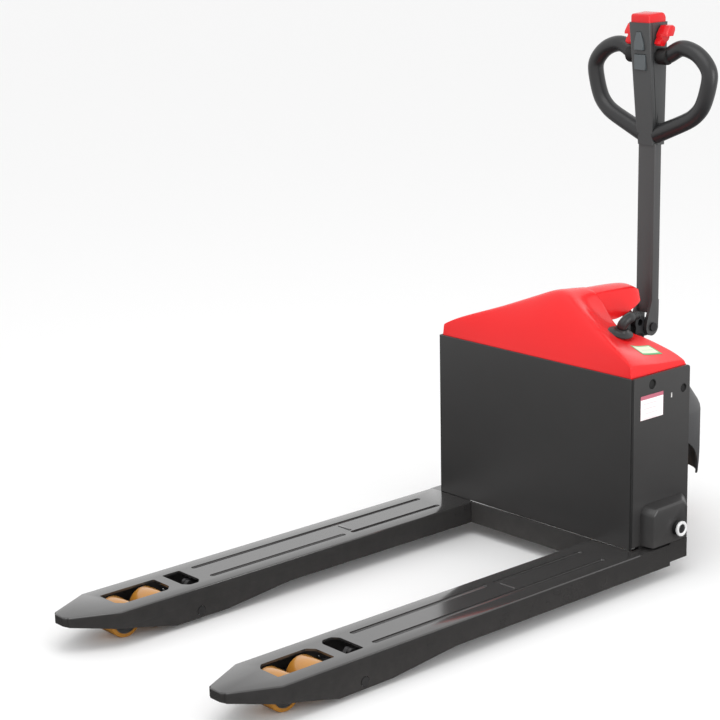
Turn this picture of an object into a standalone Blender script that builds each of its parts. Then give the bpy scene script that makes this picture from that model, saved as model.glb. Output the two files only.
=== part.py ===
"""A walkie electric pallet jack: lift frame with two forks, steered drive unit and tiller.

Metres, +Z up, forks pointing along -Y and the operator standing at +Y.
Lengths along Y are given from the body's front panel; PANEL_Y then places them in the frame,
whose origin lies on the floor under the middle of the whole truck.
"""

import math

import bmesh
import bpy
from mathutils import Matrix, Vector

# ---- driving dimensions -------------------------------------------------------------
FORK_LENGTH = 1.150
BODY_LENGTH = 0.488            # front panel to the rear of the drive cover
OVERALL_LENGTH = FORK_LENGTH + BODY_LENGTH
PANEL_Y = FORK_LENGTH - OVERALL_LENGTH / 2
GAP = 0.0003                   # between pieces that rest on each other

FORK_OUT = 0.3425              # outer face of a fork from the centre plane
FORK_IN = 0.1925
FORK_MID = (FORK_OUT + FORK_IN) / 2
FORK_TOP = 0.082
FORK_BOTTOM = 0.031
PLATE = 0.005                  # thickness of the fork's pressed plates
CHEEK_Y = -1.040               # where the fork starts to taper to its tip

BODY_HALF = 0.308              # half the width of the body's side panels
BODY_TOP = 0.481
SIDE_END = 0.198

LIFT = 0.115
ROLLER_R = 0.039
ROLLER_HALF = 0.030
ROLLER_Y = (-1.000, -0.915)
BOGIE_Y = sum(ROLLER_Y) / 2
ARM_PIN = (-0.833, 0.028)      # y, z of the load arm's pivot
ARM_LUG_R = 0.042
ARM_SWING = math.radians(61.7)
CRANK = (0.121, 0.118)         # y, z of the cross shaft
CRANK_SWING = math.radians(70.0)
CRANK_IN_R = 0.100
CRANK_OUT_R = ARM_LUG_R * math.sin(ARM_SWING / 2) / math.sin(CRANK_SWING / 2)

STEER_Y = 0.330
COVER_R = BODY_LENGTH - STEER_Y
CORNER_FULLNESS = 3.5          # power of the drive cover's rounded-square plan
WHEEL_R = 0.105
WHEEL_HALF = 0.035
CASTOR_X, CASTOR_Y, CASTOR_R, CASTOR_TRAIL = 0.200, 0.235, 0.037, 0.030
BASE_PLATE = (0.372, 0.384)    # the plate that carries the slewing ring

TILLER = (0.397, 0.487)        # y, z of the tiller's pivot
ARM_HALF = 0.026
ARM_FACES = (0.394, 0.421)
HEAD_Z = (0.930, 1.215)
LOOP_R = 0.0195
LOOP_Y = 0.408

COLOURS = {
    "frame_paint": ((0.075, 0.075, 0.078), 0.42, 0.0),
    "black_steel": ((0.02, 0.02, 0.022), 0.5, 0.4),
    "hood_red": ((0.80, 0.035, 0.035), 0.35, 0.0),
    "red_plastic": ((0.72, 0.02, 0.025), 0.4, 0.0),
    "polyurethane": ((0.62, 0.33, 0.07), 0.35, 0.0),
    "wheel_core": ((0.45, 0.45, 0.46), 0.4, 1.0),
    "zinc_steel": ((0.70, 0.70, 0.71), 0.3, 1.0),
    "arm_paint": ((0.10, 0.10, 0.105), 0.4, 0.0),
    "head_plastic": ((0.07, 0.07, 0.075), 0.55, 0.0),
    "grip_rubber": ((0.035, 0.035, 0.037), 0.65, 0.0),
    "button_grey": ((0.16, 0.19, 0.21), 0.5, 0.0),
    "cover_plastic": ((0.07, 0.07, 0.075), 0.5, 0.0),
    "motor_cast": ((0.30, 0.30, 0.31), 0.5, 0.8),
    "battery_case": ((0.05, 0.06, 0.08), 0.5, 0.0),
    "conduit_black": ((0.02, 0.02, 0.02), 0.6, 0.0),
    "tyre_rubber": ((0.03, 0.03, 0.03), 0.8, 0.0),
}


# ---- modelling helpers --------------------------------------------------------------
def clear_scene():
    for old in list(bpy.data.objects):
        bpy.data.objects.remove(old, do_unlink=True)


def material(finish, name):
    colour, roughness, metallic = COLOURS[finish]
    made = bpy.data.materials.new(f"{finish}_{name}")
    made.use_nodes = True
    shader = made.node_tree.nodes["Principled BSDF"]
    shader.inputs["Base Color"].default_value = (*colour, 1.0)
    shader.inputs["Roughness"].default_value = roughness
    shader.inputs["Metallic"].default_value = metallic
    return made


def finish_object(name, bm, finish, pivot=None):
    """Puts a mesh at its place in the frame and parents it to its joint's empty."""
    bmesh.ops.translate(bm, verts=bm.verts, vec=(0, PANEL_Y, 0))
    bmesh.ops.recalc_face_normals(bm, faces=bm.faces)
    mesh = bpy.data.meshes.new(name)
    bm.to_mesh(mesh)
    bm.free()
    mesh.shade_smooth()
    mesh.set_sharp_from_angle(angle=math.radians(35))
    made = bpy.data.objects.new(name, mesh)
    bpy.context.scene.collection.objects.link(made)
    made.data.materials.append(material(finish, name))
    if pivot is not None:
        mesh.transform(pivot.matrix_world.inverted())
        made.parent = pivot
    return made


def joint_empty(name, x=0.0, y=0.0, z=0.0):
    empty = bpy.data.objects.new(name, None)
    empty.location = (x, y + PANEL_Y, z)
    bpy.context.scene.collection.objects.link(empty)
    bpy.context.view_layer.update()
    return empty


def box(x, y, z, bevel=0.0):
    """A block between two limits on each axis, with its edges chamfered by bevel."""
    bm = bmesh.new()
    bmesh.ops.create_cube(bm, size=1.0)
    sides = [abs(b - a) for a, b in (x, y, z)]
    bmesh.ops.scale(bm, verts=bm.verts, vec=sides)
    bmesh.ops.translate(bm, verts=bm.verts, vec=[(a + b) / 2 for a, b in (x, y, z)])
    if bevel:
        bmesh.ops.bevel(bm, geom=bm.edges[:], offset=bevel, segments=1, profile=0.5,
                        affect="EDGES", material=-1)
    return bm


def extruded(points, axis, low, high):
    """A flat outline extruded along axis: (y, z) points for X, (x, z) for Y and (x, y) for Z."""
    place = {"X": lambda a, b: (low, a, b), "Y": lambda a, b: (a, low, b),
             "Z": lambda a, b: (a, b, low)}[axis]
    along = {"X": (1, 0, 0), "Y": (0, 1, 0), "Z": (0, 0, 1)}[axis]
    bm = bmesh.new()
    face = bm.faces.new([bm.verts.new(place(a, b)) for a, b in points])
    side = bmesh.ops.extrude_face_region(bm, geom=[face])
    moved = [v for v in side["geom"] if isinstance(v, bmesh.types.BMVert)]
    bmesh.ops.translate(bm, verts=moved, vec=Vector(along) * (high - low))
    bmesh.ops.recalc_face_normals(bm, faces=bm.faces)
    return bm


def arc(cx, cy, radius, start, end, steps):
    """Points along an arc, in degrees."""
    turns = [math.radians(start + (end - start) * i / steps) for i in range(steps + 1)]
    return [(cx + radius * math.cos(t), cy + radius * math.sin(t)) for t in turns]


def link_outline(a, ra, b, rb, steps=8):
    """The outline of a flat link: two round ends of different size joined by tangents."""
    facing = math.degrees(math.atan2(b[1] - a[1], b[0] - a[0]))
    return (arc(*a, ra, facing + 90, facing + 270, steps)
            + arc(*b, rb, facing - 90, facing + 90, steps))


def rod(axis, centre, radius, low, high, segments=20):
    """A round bar along an axis; centre is its place on the other two axes."""
    return extruded(arc(*centre, radius, 0, 360 - 360 / segments, segments - 1), axis, low, high)


def turned(profile, centre, axis="Z", segments=24):
    """A closed ring or solid turned from (radius, height) points about an axis."""
    bm = bmesh.new()
    verts = [bm.verts.new((r, 0, h)) for r, h in profile]
    edges = [bm.edges.new((verts[i], verts[(i + 1) % len(verts)])) for i in range(len(verts))
             if not (profile[i][0] == 0 and profile[(i + 1) % len(verts)][0] == 0)]
    bmesh.ops.spin(bm, geom=verts + edges, cent=(0, 0, 0), axis=(0, 0, 1), dvec=(0, 0, 0),
                   angle=math.tau, steps=segments, use_merge=True)
    bmesh.ops.remove_doubles(bm, verts=bm.verts, dist=0.00001)
    if axis == "X":
        bmesh.ops.rotate(bm, verts=bm.verts, cent=(0, 0, 0),
                         matrix=Matrix.Rotation(math.pi / 2, 3, "Y"))
    bmesh.ops.translate(bm, verts=bm.verts, vec=centre)
    bmesh.ops.recalc_face_normals(bm, faces=bm.faces)
    return bm


def combined(base, *others, operation="UNION"):
    """The solid that joins, or cuts, one mesh with others."""
    def as_object(bm, label):
        mesh = bpy.data.meshes.new(label)
        bm.to_mesh(mesh)
        bm.free()
        made = bpy.data.objects.new(label, mesh)
        bpy.context.scene.collection.objects.link(made)
        return made

    body = as_object(base, "work_body")
    tools = [as_object(bm, "work_tool") for bm in others]
    for tool in tools:
        change = body.modifiers.new("combine", "BOOLEAN")
        change.operation = operation
        change.solver = "EXACT"
        change.object = tool
    bpy.context.view_layer.update()
    result = bmesh.new()
    result.from_object(body, bpy.context.evaluated_depsgraph_get())
    for used in [body, *tools]:
        bpy.data.objects.remove(used, do_unlink=True)
    bmesh.ops.remove_doubles(result, verts=result.verts, dist=0.00001)
    bmesh.ops.dissolve_limit(result, angle_limit=math.radians(0.5), verts=result.verts,
                             edges=result.edges)
    return result


def mirrored(bm, side):
    """The same mesh on the left of the centre plane when side is -1."""
    if side < 0:
        bmesh.ops.scale(bm, verts=bm.verts, vec=(-1, 1, 1))
        bmesh.ops.reverse_faces(bm, faces=bm.faces)
    return bm


SIDES = (("left", -1), ("right", 1))


# ---- lift frame: forks --------------------------------------------------------------
def fork_side_outline(rear):
    """A fork's side plate seen from the side; its lower edge drops to the load arm's pin."""
    return [(rear, FORK_BOTTOM), (-0.58, FORK_BOTTOM), (-0.76, 0.0125), (-0.90, 0.0115),
            (-1.007, 0.037), (CHEEK_Y, 0.043), (CHEEK_Y, FORK_TOP - PLATE - GAP)]


def build_fork(label, side):
    under_plate = FORK_TOP - PLATE - GAP
    plate = box((FORK_IN, FORK_OUT), (-0.79, 0), (FORK_TOP - PLATE, FORK_TOP))
    finish_object(f"fork_plate_{label}", mirrored(plate, side), "frame_paint")

    toe = box((FORK_IN, FORK_OUT), (CHEEK_Y - 0.002, -0.79 - GAP), (FORK_TOP - PLATE, FORK_TOP))
    deep = (FORK_TOP - 3 * PLATE, FORK_TOP + 2 * PLATE)
    window = extruded([(0.247, -1.022), (0.304, -1.022), (0.304, -0.878), (0.247, -0.878),
                       (0.231, -0.892), (0.231, -1.008)], "Z", *deep)
    lug_window = extruded([(0.235, -0.852), (0.309, -0.852), (0.309, -0.805), (0.235, -0.805),
                           (0.221, -0.817), (0.221, -0.840)], "Z", *deep)
    toe = combined(toe, window, lug_window, operation="DIFFERENCE")
    finish_object(f"fork_toe_{label}", mirrored(toe, side), "frame_paint")

    nose_back = CHEEK_Y - 0.002 - GAP
    nose = bmesh.new()
    half = (FORK_OUT - FORK_IN) / 2
    for at, width, low in ((nose_back, half, 0.0445), (-1.1425, 0.0265, 0.060),
                           (-FORK_LENGTH, 0.0195, 0.062)):
        for x, z in ((-width, low), (width, low), (width, FORK_TOP), (-width, FORK_TOP)):
            nose.verts.new((FORK_MID + x, at, z))
    bmesh.ops.convex_hull(nose, input=nose.verts)
    finish_object(f"fork_nose_{label}", mirrored(nose, side), "frame_paint")

    rear = [(0.157, 0.040), (0.0985, 0.040), (0.0985, FORK_BOTTOM)]
    outline = (fork_side_outline(0.0985)[1:] + [(GAP, under_plate), (GAP, FORK_TOP),
               (0.0985, FORK_TOP), (0.0985, 0.0862), (0.157, 0.0862)] + rear)
    outer = extruded(outline, "X", FORK_OUT - PLATE, FORK_OUT)
    ledge = box((BODY_HALF + 0.0005, FORK_OUT - 0.002), (GAP, 0.156),
                (FORK_TOP - PLATE, FORK_TOP - 0.0002))
    outer = combined(outer, ledge)
    pin_hole = rod("X", ARM_PIN, 0.0108, FORK_OUT - 3 * PLATE, FORK_OUT + PLATE)
    outer = combined(outer, pin_hole, operation="DIFFERENCE")
    finish_object(f"fork_side_outer_{label}", mirrored(outer, side), "frame_paint")

    inner = extruded(fork_side_outline(-0.002) + [(-0.002, under_plate)], "X",
                     FORK_IN, FORK_IN + PLATE)
    pin_hole = rod("X", ARM_PIN, 0.0108, FORK_IN - PLATE, FORK_IN + 3 * PLATE)
    inner = combined(inner, pin_hole, operation="DIFFERENCE")
    finish_object(f"fork_side_inner_{label}", mirrored(inner, side), "frame_paint")


# ---- lift frame: body ---------------------------------------------------------------
def build_body_panels():
    finish_object("front_panel", box((-BODY_HALF, BODY_HALF), (0, 0.004),
                                     (FORK_TOP + GAP, BODY_TOP)), "frame_paint")
    crossbeam = combined(
        box((-FORK_IN + 0.0005, FORK_IN - 0.0005), (-0.008, -GAP), (FORK_BOTTOM, FORK_TOP)),
        box((-FORK_IN + 0.0005, FORK_IN - 0.0005), (-0.008, 0.030),
            (FORK_BOTTOM, FORK_BOTTOM + 0.006)))
    finish_object("crossbeam", crossbeam, "frame_paint")
    finish_object("lift_crosshead",
                  box((-BODY_HALF + 0.0063, BODY_HALF - 0.0063), (0.050, 0.098), (0.345, 0.360)),
                  "frame_paint")
    for label, side in SIDES:
        outline = [(0.004 + GAP, 0.0862), (0.034, 0.0862), (0.034, 0.036), (SIDE_END, 0.036),
                   (SIDE_END, BODY_TOP - 0.006), (SIDE_END - 0.006, BODY_TOP),
                   (0.004 + GAP, BODY_TOP)]
        panel = extruded(outline, "X", BODY_HALF - 0.006, BODY_HALF)
        cuts = [rod("X", (0.068, 0.459), 0.011, BODY_HALF - 0.02, BODY_HALF + 0.02, 16),
                rod("X", (0.176, 0.430), 0.010, BODY_HALF - 0.02, BODY_HALF + 0.02, 16),
                rod("X", CRANK, 0.0146, BODY_HALF - 0.02, BODY_HALF + 0.02, 20)]
        panel = combined(panel, *cuts, operation="DIFFERENCE")
        finish_object(f"side_panel_{label}", mirrored(panel, side), "frame_paint")
        build_shaft_housing(label, side)


def build_shaft_housing(label, side):
    """The pressed box on the side panel that covers the cross shaft's bearing."""
    def frustum(inset, inner_x, outer_x):
        rings = ((inner_x, (0.034 + inset, 0.190 - inset), (0.0865, 0.180 - inset)),
                 (outer_x, (0.039 + inset, 0.157 - inset), (0.0865, 0.1765 - inset)))
        bm = bmesh.new()
        for x, (y0, y1), (z0, z1) in rings:
            cut = 0.014
            for y, z in ((y0, z0), (y1, z0), (y1, z1 - cut), (y1 - cut, z1), (y0 + cut, z1),
                         (y0, z1 - cut)):
                bm.verts.new((x, y, z))
        bmesh.ops.convex_hull(bm, input=bm.verts)
        return bm

    shell = frustum(0, BODY_HALF + GAP, FORK_OUT)
    hollow = frustum(0.004, BODY_HALF - 0.004, FORK_OUT - 0.004)
    below = box((BODY_HALF - 0.004, FORK_OUT - 0.004), (0.046, 0.153), (0.07, 0.10))
    shell = combined(shell, hollow, below, operation="DIFFERENCE")
    shell = combined(shell, rod("X", CRANK, 0.0146, BODY_HALF, FORK_OUT + 0.01, 20),
                     operation="DIFFERENCE")
    finish_object(f"shaft_housing_{label}", mirrored(shell, side), "frame_paint")


# The hood's outer surface: rows from the front edge to the rear edge, each with the
# (y, z) of the surface at these distances from the centre plane.
HOOD_X = (0.0, 0.040, 0.090, 0.150, 0.220, 0.270, 0.297)
HOOD_FOOT = BODY_TOP + 0.0005
HOOD_ROWS = (
    ((0.004, HOOD_FOOT),) * 7,
    ((0.020, 0.545), (0.019, 0.543), (0.018, 0.538), (0.014, 0.528), (0.008, 0.518),
     (0.006, 0.508), (0.0045, 0.498)),
    ((0.052, 0.594), (0.050, 0.590), (0.046, 0.578), (0.032, 0.557), (0.016, 0.538),
     (0.008, 0.521), (0.005, 0.507)),
    ((0.092, 0.6245), (0.086, 0.615), (0.078, 0.599), (0.055, 0.5735), (0.028, 0.547),
     (0.013, 0.525), (0.007, 0.509)),
    ((0.120, 0.6245), (0.118, 0.613), (0.116, 0.565), (0.112, 0.533), (0.100, 0.512),
     (0.090, 0.504), (0.085, 0.498)),
    ((0.155, 0.6215), (0.155, 0.609), (0.155, 0.541), (0.155, 0.527), (0.155, 0.5125),
     (0.155, 0.5030), (0.155, 0.4925)),
    ((0.190, 0.6180), (0.190, 0.605), (0.190, 0.524), (0.190, 0.529), (0.190, 0.5145),
     (0.190, 0.5020), (0.190, 0.488)),
    ((0.193, HOOD_FOOT),) * 7,
)
BEAK = (  # y, ridge z, shoulder half width and z, lower half width and z
    (0.150, 0.6190, 0.034, 0.604, 0.042, 0.552),
    (0.270, 0.6140, 0.035, 0.602, 0.044, 0.545),
    (0.325, 0.6075, 0.033, 0.598, 0.040, 0.550),
    (0.343, 0.5960, 0.028, 0.588, 0.034, 0.558),
)


def build_hood():
    """A moulded cap with a sloping front, a raised spine and a shoulder on each side."""
    bm = bmesh.new()
    foot_x = HOOD_X[-1] + 0.003
    grid = []
    for row in HOOD_ROWS:
        half = [(x, y, z) for x, (y, z) in zip(HOOD_X, row)] + [(foot_x, row[-1][0], HOOD_FOOT)]
        whole = [(-x, y, z) for x, y, z in reversed(half[1:])] + half
        grid.append([bm.verts.new(p) for p in whole])
    for near, far in zip(grid, grid[1:]):
        for i in range(len(near) - 1):
            bm.faces.new((near[i], near[i + 1], far[i + 1], far[i]))
    bmesh.ops.remove_doubles(bm, verts=bm.verts, dist=0.00001)
    bmesh.ops.recalc_face_normals(bm, faces=bm.faces)
    highest = max(bm.faces, key=lambda f: f.calc_center_median().z)
    if highest.normal.z < 0:
        bmesh.ops.reverse_faces(bm, faces=bm.faces)
    bmesh.ops.triangulate(bm, faces=bm.faces)
    mesh = bpy.data.meshes.new("hood_skin")
    bm.to_mesh(mesh)
    bm.free()
    skin = bpy.data.objects.new("hood_skin", mesh)
    bpy.context.scene.collection.objects.link(skin)
    wall = skin.modifiers.new("wall", "SOLIDIFY")
    wall.thickness = 0.003
    wall.offset = -1
    bpy.context.view_layer.update()
    shell = bmesh.new()
    shell.from_object(skin, bpy.context.evaluated_depsgraph_get())
    bpy.data.objects.remove(skin, do_unlink=True)

    beak = bmesh.new()
    for y, ridge, edge_x, edge_z, low_x, low_z in BEAK:
        for x, z in ((0, ridge), (edge_x, edge_z), (low_x, low_z), (-low_x, low_z),
                     (-edge_x, edge_z)):
            beak.verts.new((x, y, z))
    bmesh.ops.convex_hull(beak, input=beak.verts)
    finish_object("hood", combined(shell, beak), "hood_red")


GLAND = (0.154, 0.133, 0.5385)
GLAND_TILT = math.radians(17)
CONDUIT_R = 0.0095


def build_gland():
    """The dark flanged boot where the tiller's cable leaves the hood."""
    bm = turned([(0, 0), (0.030, 0), (0.030, 0.003), (0.026, 0.007), (0.0145, 0.011),
                 (0.0135, 0.014), (0, 0.014)], (0, 0, 0), segments=20)
    bmesh.ops.rotate(bm, verts=bm.verts, cent=(0, 0, 0), matrix=Matrix.Rotation(GLAND_TILT, 3, "Y"))
    bmesh.ops.translate(bm, verts=bm.verts, vec=Vector(GLAND))
    finish_object("cable_gland", bm, "conduit_black")


def build_conduit():
    """The corrugated conduit from the gland to the inlet on the steering axis."""
    out = Matrix.Rotation(GLAND_TILT, 3, "Y") @ Vector((0, 0, 1))
    start = Vector(GLAND) + out * 0.0152
    end = Vector((0, STEER_Y, 0.5058))
    guides = [start, start + out * 0.004, Vector((0.1612, 0.1352, 0.5622)),
              Vector((0.1630, 0.143, 0.5688)), Vector((0.1620, 0.157, 0.5725)),
              Vector((0.146, 0.195, 0.5690)), Vector((0.114, 0.242, 0.5570)),
              Vector((0.078, 0.282, 0.5445)), Vector((0.046, 0.306, 0.5345)),
              Vector((0.012, 0.3275, 0.530)),
              end + Vector((0, 0, 0.012)), end + Vector((0, 0, 0.004)), end]
    points = smooth_route(guides, 4)
    curve = bpy.data.curves.new("conduit", "CURVE")
    curve.dimensions = "3D"
    curve.bevel_depth = CONDUIT_R
    curve.bevel_resolution = 2
    curve.use_fill_caps = True
    line = curve.splines.new("POLY")
    line.points.add(len(points) - 1)
    for spot, p in zip(line.points, points):
        spot.co = (p.x, p.y + PANEL_Y, p.z, 1.0)
    made = bpy.data.objects.new("tiller_conduit", curve)
    bpy.context.scene.collection.objects.link(made)
    made.data.materials.append(material("conduit_black", "tiller_conduit"))


def smooth_route(guides, steps):
    """Points on a smooth curve through the guide points."""
    padded = [guides[0] * 2 - guides[1], *guides, guides[-1] * 2 - guides[-2]]
    points = []
    for a, b, c, d in zip(padded, padded[1:], padded[2:], padded[3:]):
        for i in range(steps):
            t = i / steps
            points.append(0.5 * (2 * b + (c - a) * t + (2 * a - 5 * b + 4 * c - d) * t ** 2
                                 + (3 * b - a - 3 * c + d) * t ** 3))
    return points + [guides[-1]]


def build_inside():
    """The battery, controller and pump unit that the body holds."""
    finish_object("battery_pack", box((-0.285, 0.285), (0.012, 0.045), (0.130, 0.330), 0.004),
                  "battery_case")
    finish_object("motor_controller", box((-0.270, -0.060), (0.014, 0.045), (0.365, 0.470), 0.003),
                  "motor_cast")
    pump = combined(box((0.060, 0.280), (0.052, 0.118), (0.3603, 0.420), 0.004),
                    rod("X", (0.085, 0.448), 0.030, 0.070, 0.230))
    finish_object("pump_unit", pump, "motor_cast")
    finish_object("lift_ram", rod("Z", (0, 0.074), 0.0160, 0.260 - LIFT, 0.3447), "zinc_steel")


# ---- lift linkage -------------------------------------------------------------------
def on_arm(angle, radius, centre):
    """A point at an angle from straight down, positive towards the operator."""
    return (centre[0] + radius * math.sin(angle), centre[1] - radius * math.cos(angle))


def build_cross_shaft():
    pivot = joint_empty("cross_shaft_axis", 0, *CRANK)
    half = 0.3585
    shaft = rod("X", CRANK, 0.0138, -half + 0.006, half - 0.006)
    parts = []
    output = on_arm(CRANK_SWING / 2, CRANK_OUT_R, CRANK)
    tip = (CRANK[0] + CRANK_IN_R * math.cos(CRANK_SWING / 2),
           CRANK[1] + CRANK_IN_R * math.sin(CRANK_SWING / 2))
    for _, side in SIDES:
        for end, hub, eye in ((output, 0.022, 0.009), (tip, 0.0215, 0.011)):
            arm = extruded(link_outline(CRANK, hub, end, eye), "X", 0.262, 0.272)
            parts.append(mirrored(arm, side))
        parts.append(mirrored(rod("X", tip, 0.008, 0.240, 0.264, 16), side))
    finish_object("cross_shaft", combined(shaft, *parts), "black_steel", pivot)
    for label, side in SIDES:
        ring = turned([(0.0145, -0.003), (0.0175, -0.003), (0.0175, 0.003), (0.0145, 0.003)],
                      (half - 0.003, *CRANK), "X")
        finish_object(f"shaft_end_ring_{label}", mirrored(ring, side), "zinc_steel", pivot)


def build_push_rod(label, side):
    output = on_arm(CRANK_SWING / 2, CRANK_OUT_R, CRANK)
    lug = (ARM_PIN[0] + ARM_LUG_R * math.sin(ARM_SWING / 2),
           ARM_PIN[1] + ARM_LUG_R * math.cos(ARM_SWING / 2))
    low, high = 0.048, 0.066
    outline = (arc(*lug, 0.009, 225, 95, 6) + [(lug[0] + 0.03, high), (0.055, high),
               (0.085, output[1] + 0.009)] + arc(*output, 0.009, 90, -90, 6)
               + [(0.095, output[1] - 0.011), (0.065, low), (lug[0] + 0.012, low)])
    pivot = joint_empty(f"push_rod_guide_{label}", side * 0.2775, 0, high)
    bar = extruded(outline, "X", 0.2735, 0.2815)
    finish_object(f"push_rod_{label}", mirrored(bar, side), "black_steel", pivot)


def build_load_arm(label, side):
    """The yoke that swings down out of the fork and carries the roller bogie."""
    pivot = joint_empty(f"load_arm_axis_{label}", side * FORK_MID, *ARM_PIN)
    bogie = (BOGIE_Y, ROLLER_R)
    lug = (ARM_PIN[0] + ARM_LUG_R * math.sin(ARM_SWING / 2),
           ARM_PIN[1] + ARM_LUG_R * math.cos(ARM_SWING / 2))
    shaft = rod("X", ARM_PIN, 0.010, FORK_IN - 0.001, FORK_OUT + 0.001, 24)
    parts = [extruded(link_outline(ARM_PIN, 0.0145, lug, 0.0085), "X", 0.262, 0.272)]
    for low in (0.2240, 0.3060):
        plate = extruded(link_outline(ARM_PIN, 0.0145, bogie, 0.0125), "X", low, low + 0.005)
        parts.append(combined(plate, rod("X", bogie, 0.0084, low - 0.01, low + 0.02, 16),
                              operation="DIFFERENCE"))
    finish_object(f"load_arm_{label}", mirrored(combined(shaft, *parts), side), "black_steel",
                  pivot)

    pivot = joint_empty(f"bogie_axis_{label}", side * FORK_MID, *bogie)
    frame = rod("X", bogie, 0.0032, 0.2320, 0.3030, 12)
    parts = []
    for low, stub in ((0.2320, (0.2242, 0.2330)), (0.2990, (0.3020, 0.3108))):
        parts.append(extruded(link_outline((ROLLER_Y[0], ROLLER_R), 0.012,
                                           (ROLLER_Y[1], ROLLER_R), 0.012), "X", low, low + 0.004))
        parts.append(rod("X", bogie, 0.0078, *stub, 16))
    for y in ROLLER_Y:
        parts.append(rod("X", (y, ROLLER_R), 0.008, 0.2330, 0.3020, 16))
    finish_object(f"roller_bogie_{label}", mirrored(combined(frame, *parts), side), "zinc_steel",
                  pivot)
    for place, y in zip(("front", "rear"), ROLLER_Y):
        pivot = joint_empty(f"roller_axis_{label}_{place}", side * FORK_MID, y, ROLLER_R)
        edge = 0.002
        roller = turned([(0.0085, -ROLLER_HALF), (ROLLER_R - edge, -ROLLER_HALF),
                         (ROLLER_R, -ROLLER_HALF + edge), (ROLLER_R, ROLLER_HALF - edge),
                         (ROLLER_R - edge, ROLLER_HALF), (0.0085, ROLLER_HALF)],
                        (FORK_MID, y, ROLLER_R), "X", 32)
        finish_object(f"load_roller_{label}_{place}", mirrored(roller, side), "polyurethane",
                      pivot)


# ---- drive base, the part that stays on the floor -----------------------------------
def build_drive_base():
    web = box((-0.2525, 0.2525), (0.159, 0.167), (0.112, BASE_PLATE[1]))
    top = extruded(arc(0, STEER_Y, 0.100, 0, 180, 12) + [(-0.100, 0.162), (0.100, 0.162)], "Z",
                   *BASE_PLATE)
    neck = box((-0.050, 0.050), (0.159, 0.167), (0.085, 0.120))
    foot = box((-0.050, 0.050), (0.046, 0.1665), (0.085, 0.097))
    parts = [top, neck, foot]
    for _, side in SIDES:
        parts.append(mirrored(box((0.160, 0.240), (0.160, 0.270), (0.112, 0.124)), side))
        parts.append(mirrored(box((0.2425, 0.2520), (0.160, 0.245), (0.150, 0.204)), side))
    base = combined(web, *parts)
    cuts = [rod("Z", (0, STEER_Y), 0.0655, 0.35, 0.40, 32)]
    for _, side in SIDES:
        cuts.append(rod("Z", (side * CASTOR_X, CASTOR_Y), 0.0088, 0.10, 0.14, 16))
        cuts.append(mirrored(box((0.235, 0.260), (0.190, 0.234), (0.1655, 0.1865)), side))
    finish_object("drive_bracket", combined(base, *cuts, operation="DIFFERENCE"), "black_steel")
    barrel = turned([(0.0168, 0.110), (0.0168, 0.300), (0.0225, 0.300), (0.0225, 0.0973),
                     (0, 0.0973), (0, 0.110)], (0, 0.074, 0))
    finish_object("lift_cylinder", barrel, "black_steel")


def build_castor(label, side):
    x = side * CASTOR_X
    wheel_y = CASTOR_Y - CASTOR_TRAIL
    pivot = joint_empty(f"castor_swivel_{label}", x, CASTOR_Y, 0.1)
    crown = rod("Z", (x, CASTOR_Y), 0.024, 0.094, 0.104, 20)
    parts = [rod("Z", (x, CASTOR_Y), 0.008, 0.100, 0.130, 16),
             rod("X", (wheel_y, CASTOR_R), 0.0055, x - 0.024, x + 0.024, 16)]
    for low in (-0.024, 0.019):
        leg = [(wheel_y - 0.012, CASTOR_R - 0.012), (wheel_y + 0.012, CASTOR_R - 0.012),
               (CASTOR_Y + 0.020, 0.094), (CASTOR_Y + 0.020, 0.1035),
               (CASTOR_Y - 0.022, 0.1035), (wheel_y - 0.014, 0.060)]
        parts.append(extruded(leg, "X", x + low, x + low + 0.005))
    bridge = box((x - 0.0235, x + 0.0235), (CASTOR_Y - 0.0215, CASTOR_Y + 0.0195), (0.0945, 0.1033))
    finish_object(f"castor_fork_{label}", combined(crown, bridge, *parts), "zinc_steel", pivot)
    axle = joint_empty(f"castor_axle_{label}", x, wheel_y, CASTOR_R)
    wheel = turned([(0.0060, -0.0155), (0.034, -0.0155), (CASTOR_R, -0.012), (CASTOR_R, 0.012),
                    (0.034, 0.0155), (0.0060, 0.0155)], (x, wheel_y, CASTOR_R), "X", 28)
    finish_object(f"castor_wheel_{label}", wheel, "tyre_rubber", axle)


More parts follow.
